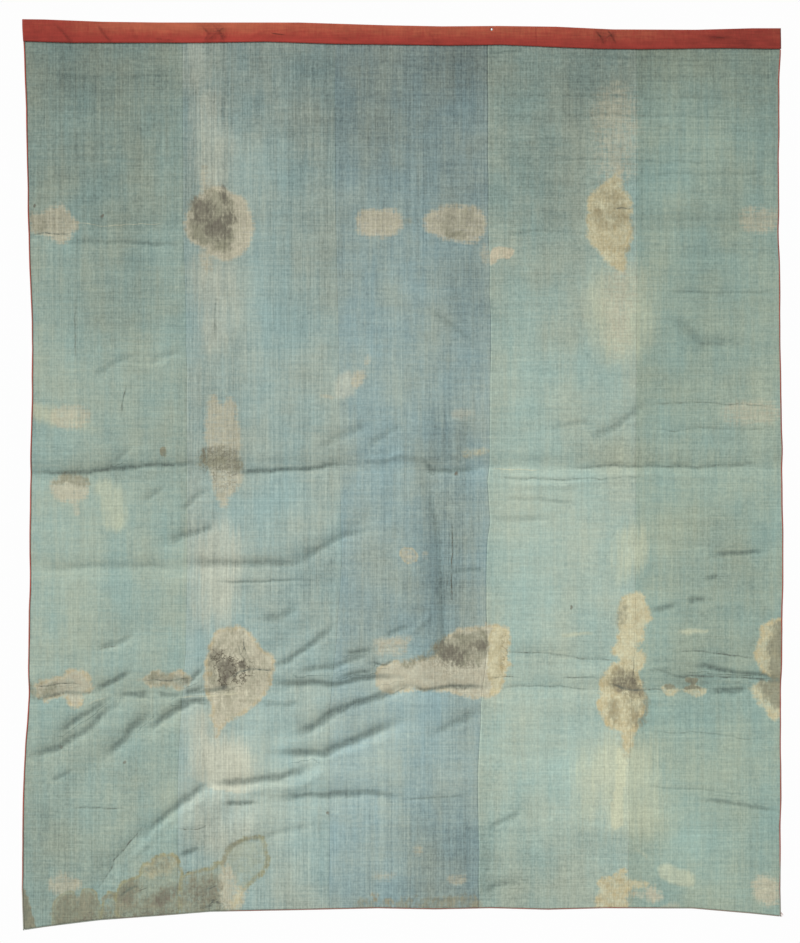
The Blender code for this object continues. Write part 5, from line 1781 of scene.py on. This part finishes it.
heading_columns = columns_across((0, RIM), HEADING_SPACING)
back_lift, front_lift = FOLD_CENTRE - FOLD_OUTER, FOLD_CENTRE + FOLD_OUTER
heading_rows = [(HEADING_BACK, back_lift, -1), (RIM, back_lift, -1)]
heading_rows += [(inwards, lift, -1) for inwards, lift in fold_rows()]
front_shares = spread(HEADING_ROW_SHARE, 1.0, HEADING_ROW_SHARE)
heading_rows += [(0, front_lift, share) for share in (*front_shares, 1.0)]
heading = woven_piece("heading_strip", heading_columns, heading_rows, heading_place)
add_heading_marks(heading)
cut_hole(heading, HOLE_RADIUS)
heading.data.materials.append(madder_red_cotton("madder_red_cotton", MADDER, BLEACHED_MADDER))
give_thickness(heading, BINDING_THICK)

# The stitches stray a little from their even spacing
STITCH_LONG, STITCH_THICK, STITCH_APART = 3.4 * MM, 0.5 * MM, 9.0
STITCH_SLANT = radians(35)
STITCHED_TO = 980
STITCH_STRAY = Patches(7, 7, 1.5, 61)
STITCH_RED = "#7a342c"
bm = bmesh.new()
stitch_x = np.array(spread(-STITCHED_TO, STITCHED_TO, STITCH_APART)) * MM
stitch_x += strayed(stitch_x, stitch_x * 0, (STITCH_STRAY,))
stitch_z = -np.interp(stitch_x, LOWER_TABLE[:, 0], LOWER_TABLE[:, 1])
stitch_y = -relief(stitch_x, stitch_z) - FOLD_CENTRE - FOLD_OUTER - HEADING_LIFT
for x, y, z in zip(stitch_x, stitch_y, stitch_z):
    made = bmesh.ops.create_uvsphere(bm, u_segments=6, v_segments=4, radius=1)["verts"]
    bmesh.ops.scale(bm, vec=(STITCH_THICK, STITCH_THICK, STITCH_LONG / 2), verts=made)
    turn = Matrix.Rotation(STITCH_SLANT, 3, "Y")
    bmesh.ops.rotate(bm, cent=(0, 0, 0), matrix=turn, verts=made)
    bmesh.ops.translate(bm, vec=(x, y, z), verts=made)
stitches = finished_piece("heading_stitches", bm)
stitches.data.shade_smooth()
stitches.data.materials.append(plain_red_cotton("red_sewing_cotton", STITCH_RED, FACE_STREAKS))

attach(heading, "root")
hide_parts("heading")
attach(stitches, "root")

# The edging
#
# Narrow strips of the same red cotton, folded over both sides and the hem to bind the
# face cloth and the lining together. They show as a thin worn line round the lining.

EDGING_WIDE = 3.5 * MM
HEM_EDGING_WIDE = 3.0 * MM
HEADING_FRONT = 56.0 * MM
EDGING_SPACING = 6.0
EDGING_ROWS_FROM, EDGING_ROWS_TO = 65, CLOTH_TALL - 8
EDGING_UNEVEN = Patches(90, 90, 0.12, 71)
EDGING_RED, EDGING_SOIL = "#a14c3e", "#8d9488"
EDGING_STREAKS = (
    Streak(30, 30, 3, 0.5),
    Streak(4, 12, 2, 0.4),
    Streak(160, 160, 2, 0.5),
)

# Where the edging's red is worn off to the grey of the dirty cloth: at each drop down the
# sides, and at each place across the hem, in millimetres
EDGING_WEAR = {
    "left": ((0, 0.05), (1900, 0.1), (2230, 0.3), (2290, 0.95), (2380, 0.95)),
    "right": (
        (0, 0.05), (2100, 0.1), (2185, 0.3), (2215, 0.95), (2250, 0.5), (2300, 0.9), (2380, 0.9),
    ),
    "bottom": ((-1000, 1.0), (-480, 0.95), (-430, 0.5), (560, 0.4), (680, 0.8), (1000, 0.85)),
}
WEAR_UNEVEN = Patches(35, 35, 0.15, 72)


def add_wear(piece, side):
    """Stores how far the edging is worn at each point."""
    x, _, z = points_of(piece)
    along = (x if side == "bottom" else -z) / MM
    worn = np.interp(along, *np.array(EDGING_WEAR[side]).T)
    uneven = WEAR_UNEVEN.strength * cloth_noise(x, z, WEAR_UNEVEN)
    keep_values(piece, "worn", np.clip(worn + uneven, 0, 1))


def worn_red_cotton(name, dye, soil, streaks):
    """The same red cotton where it binds an edge: matt, rubbed through to dirty grey."""
    material, tree, shader = new_matt_material(name, rough=0.92, sheen=0.15)
    yarn = toned(tree, 1, streaks, 1)
    worn = add_node(tree, "Attribute", attribute_name="worn", **STORED)
    colour = add_node(tree, "Mix", (worn, linear(dye), linear(soil)), **MIX)
    link_cloth(tree, shader, colour, yarn, yarn)
    return material


def edging_profile(wide):
    """The strip's section from the end of its back leg to the end of its front one."""
    return [(wide, back_lift), *fold_rows(), (wide, front_lift)]


def side_edging_place(edge, inwards_sign):
    """Places a strip along a side edge."""

    def place(section, down):
        uneven = cloth_noise(down[:, 0] * CLOTH_TALL * MM, section[:, 0], EDGING_UNEVEN)
        inwards = section[:, 0] * (1 + EDGING_UNEVEN.strength * uneven)
        across = np.stack((np.full(len(section), float(edge)), inwards_sign * inwards), axis=1)
        x, z = crossing(across, down)
        return x, -relief(x, z) - section[:, 1], z

    return place


def hem_edging_place(across, section):
    """Places the strip along the hem."""
    x, z = crossing(across, np.stack((np.ones(len(section)), section[:, 0]), axis=1))
    return x, -relief(x, z) - section[:, 1], z


side_profile, hem_profile = edging_profile(EDGING_WIDE), edging_profile(HEM_EDGING_WIDE)
side_rows = spread(EDGING_ROWS_FROM, EDGING_ROWS_TO, EDGING_SPACING)
side_rows = rows_down((-HEADING_FRONT - GAP,), side_rows, (RIM, 0))
hem_columns = columns_across((RIM + GAP,), EDGING_SPACING)
Strip = namedtuple("Strip", "side across down place")
STRIPS = (
    Strip("left", side_profile, side_rows, side_edging_place(0, 1)),
    Strip("right", side_profile[::-1], side_rows, side_edging_place(WIDTHS, -1)),
    Strip("bottom", hem_columns, hem_profile[::-1], hem_edging_place),
)
edgings = {}
for strip in STRIPS:
    name = f"edging_strip_{strip.side}"
    edgings[strip.side] = woven_piece(name, strip.across, strip.down, strip.place)
edging_cotton = worn_red_cotton("worn_red_cotton", EDGING_RED, EDGING_SOIL, EDGING_STREAKS)

# The right-hand strip has frayed at its lower end, where a few of its threads stand out
Thread = namedtuple("Thread", "across drop lift length turn")
FRAYED_THREADS = (
    Thread(992.5, 2326, 0.2, 8, 48),
    Thread(992.5, 2327, -0.5, 10, 36),
    Thread(992.0, 2328, 0.6, 11, 24),
    Thread(992.5, 2329, 0.0, 9, 58),
    Thread(992.0, 2330, -0.3, 10, 14),
    Thread(992.5, 2331, 0.4, 7, 40),
    Thread(991.5, 2332, 0.1, 8, 28),
)
THREAD_THICK, THREAD_END = 0.9 * MM, 0.5 * MM
THREAD_RED = "#b9978a"
bm = bmesh.new()
for thread in FRAYED_THREADS:
    sizes = {"radius1": THREAD_END / 2, "radius2": THREAD_THICK / 2, "depth": thread.length * MM}
    made = bmesh.ops.create_cone(bm, cap_ends=True, segments=4, **sizes)["verts"]
    bmesh.ops.translate(bm, vec=(0, 0, -thread.length * MM / 2), verts=made)
    turn = Matrix.Rotation(radians(-thread.turn), 3, "Y")
    bmesh.ops.rotate(bm, cent=(0, 0, 0), matrix=turn, verts=made)
    x, z = thread.across * MM, -thread.drop * MM
    y = -relief(np.array([x]), np.array([z]))[0] - FOLD_CENTRE - thread.lift * MM
    bmesh.ops.translate(bm, vec=(x, y, z), verts=made)
frayed_end = finished_piece("edging_frayed_end", bm)
frayed_end.data.materials.append(plain_red_cotton("frayed_cotton", THREAD_RED, FACE_STREAKS))
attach(frayed_end, "root")

for side, edging in edgings.items():
    add_wear(edging, side)
    edging.data.materials.append(edging_cotton)
    give_thickness(edging, BINDING_THICK)
    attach(edging, "root")
    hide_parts(f"edging_{side}")

# The studio
#
# A pale floor below the hanging, an even pale surround, and a soft lamp high on the left,
# which rakes the cloth enough to draw its folds. A weaker one lights the hanging from
# behind. The camera looks square on.

FLOOR_LEVEL = -2.85
FLOOR_HALF = (2.5, 2.0)
FLOOR_FORWARD = 0.2
FLOOR_PAINT = "#dcdad6"
bm = bmesh.new()
bmesh.ops.create_grid(bm, x_segments=1, y_segments=1, size=1)
bmesh.ops.scale(bm, vec=(*FLOOR_HALF, 1), verts=bm.verts)
bmesh.ops.translate(bm, vec=(0, -FLOOR_FORWARD, FLOOR_LEVEL), verts=bm.verts)
floor = finished_piece("floor", bm)
floor_paint, _, floor_shader = new_matt_material("floor_paint", rough=0.8, sheen=0)
floor_shader.inputs["Base Color"].default_value = linear(FLOOR_PAINT)
floor.data.materials.append(floor_paint)

# Each lamp's strength, and how softly it lights, as the angle that it fills in degrees
Lamp = namedtuple("Lamp", "name direction energy softness")
LAMPS = (
    Lamp("raking lamp", (0.55, 0.62, -0.56), 2.92, 12),
    Lamp("back lamp", (-0.5, -0.75, -0.35), 1.3, 30),
)
for lamp in LAMPS:
    light = bpy.data.lights.new(lamp.name, "SUN")
    light.energy = lamp.energy
    light.angle = radians(lamp.softness)
    stand = bpy.data.objects.new(lamp.name, light)
    stand.rotation_euler = Vector(lamp.direction).to_track_quat("-Z", "Y").to_euler()
    bpy.context.scene.collection.objects.link(stand)

# The surround lights the cloth less than it shows behind it
SURROUND_LIGHT, SURROUND_SEEN = 0.40, 0.985
world = bpy.data.worlds.new("pale surround")
world.use_nodes = True
sky = world.node_tree
seen = add_node(sky, "LightPath", output="Is Camera Ray")
paleness = (seen, SURROUND_LIGHT, SURROUND_SEEN)
strength = add_node(sky, "MapRange", paleness, slots=("Value", "To Min", "To Max"))
sky.nodes["Background"].inputs["Color"].default_value = (1, 1, 1, 1)
sky.links.new(strength, sky.nodes["Background"].inputs["Strength"])
bpy.context.scene.world = world
bpy.context.scene.view_settings.view_transform = "Standard"

VIEW_HEIGHT = 2.475
VIEW_CENTRE_X, VIEW_CENTRE_Z = -0.0063, -1.1705
LENS, SENSOR = 85, 36
camera_data = bpy.data.cameras.new("camera")
camera_data.lens = LENS
camera_data.sensor_width = SENSOR
camera = bpy.data.objects.new("camera", camera_data)
camera.location = (VIEW_CENTRE_X, -VIEW_HEIGHT * LENS / SENSOR, VIEW_CENTRE_Z)
camera.rotation_euler = (radians(90), 0, 0)
bpy.context.scene.collection.objects.link(camera)
bpy.context.scene.camera = camera
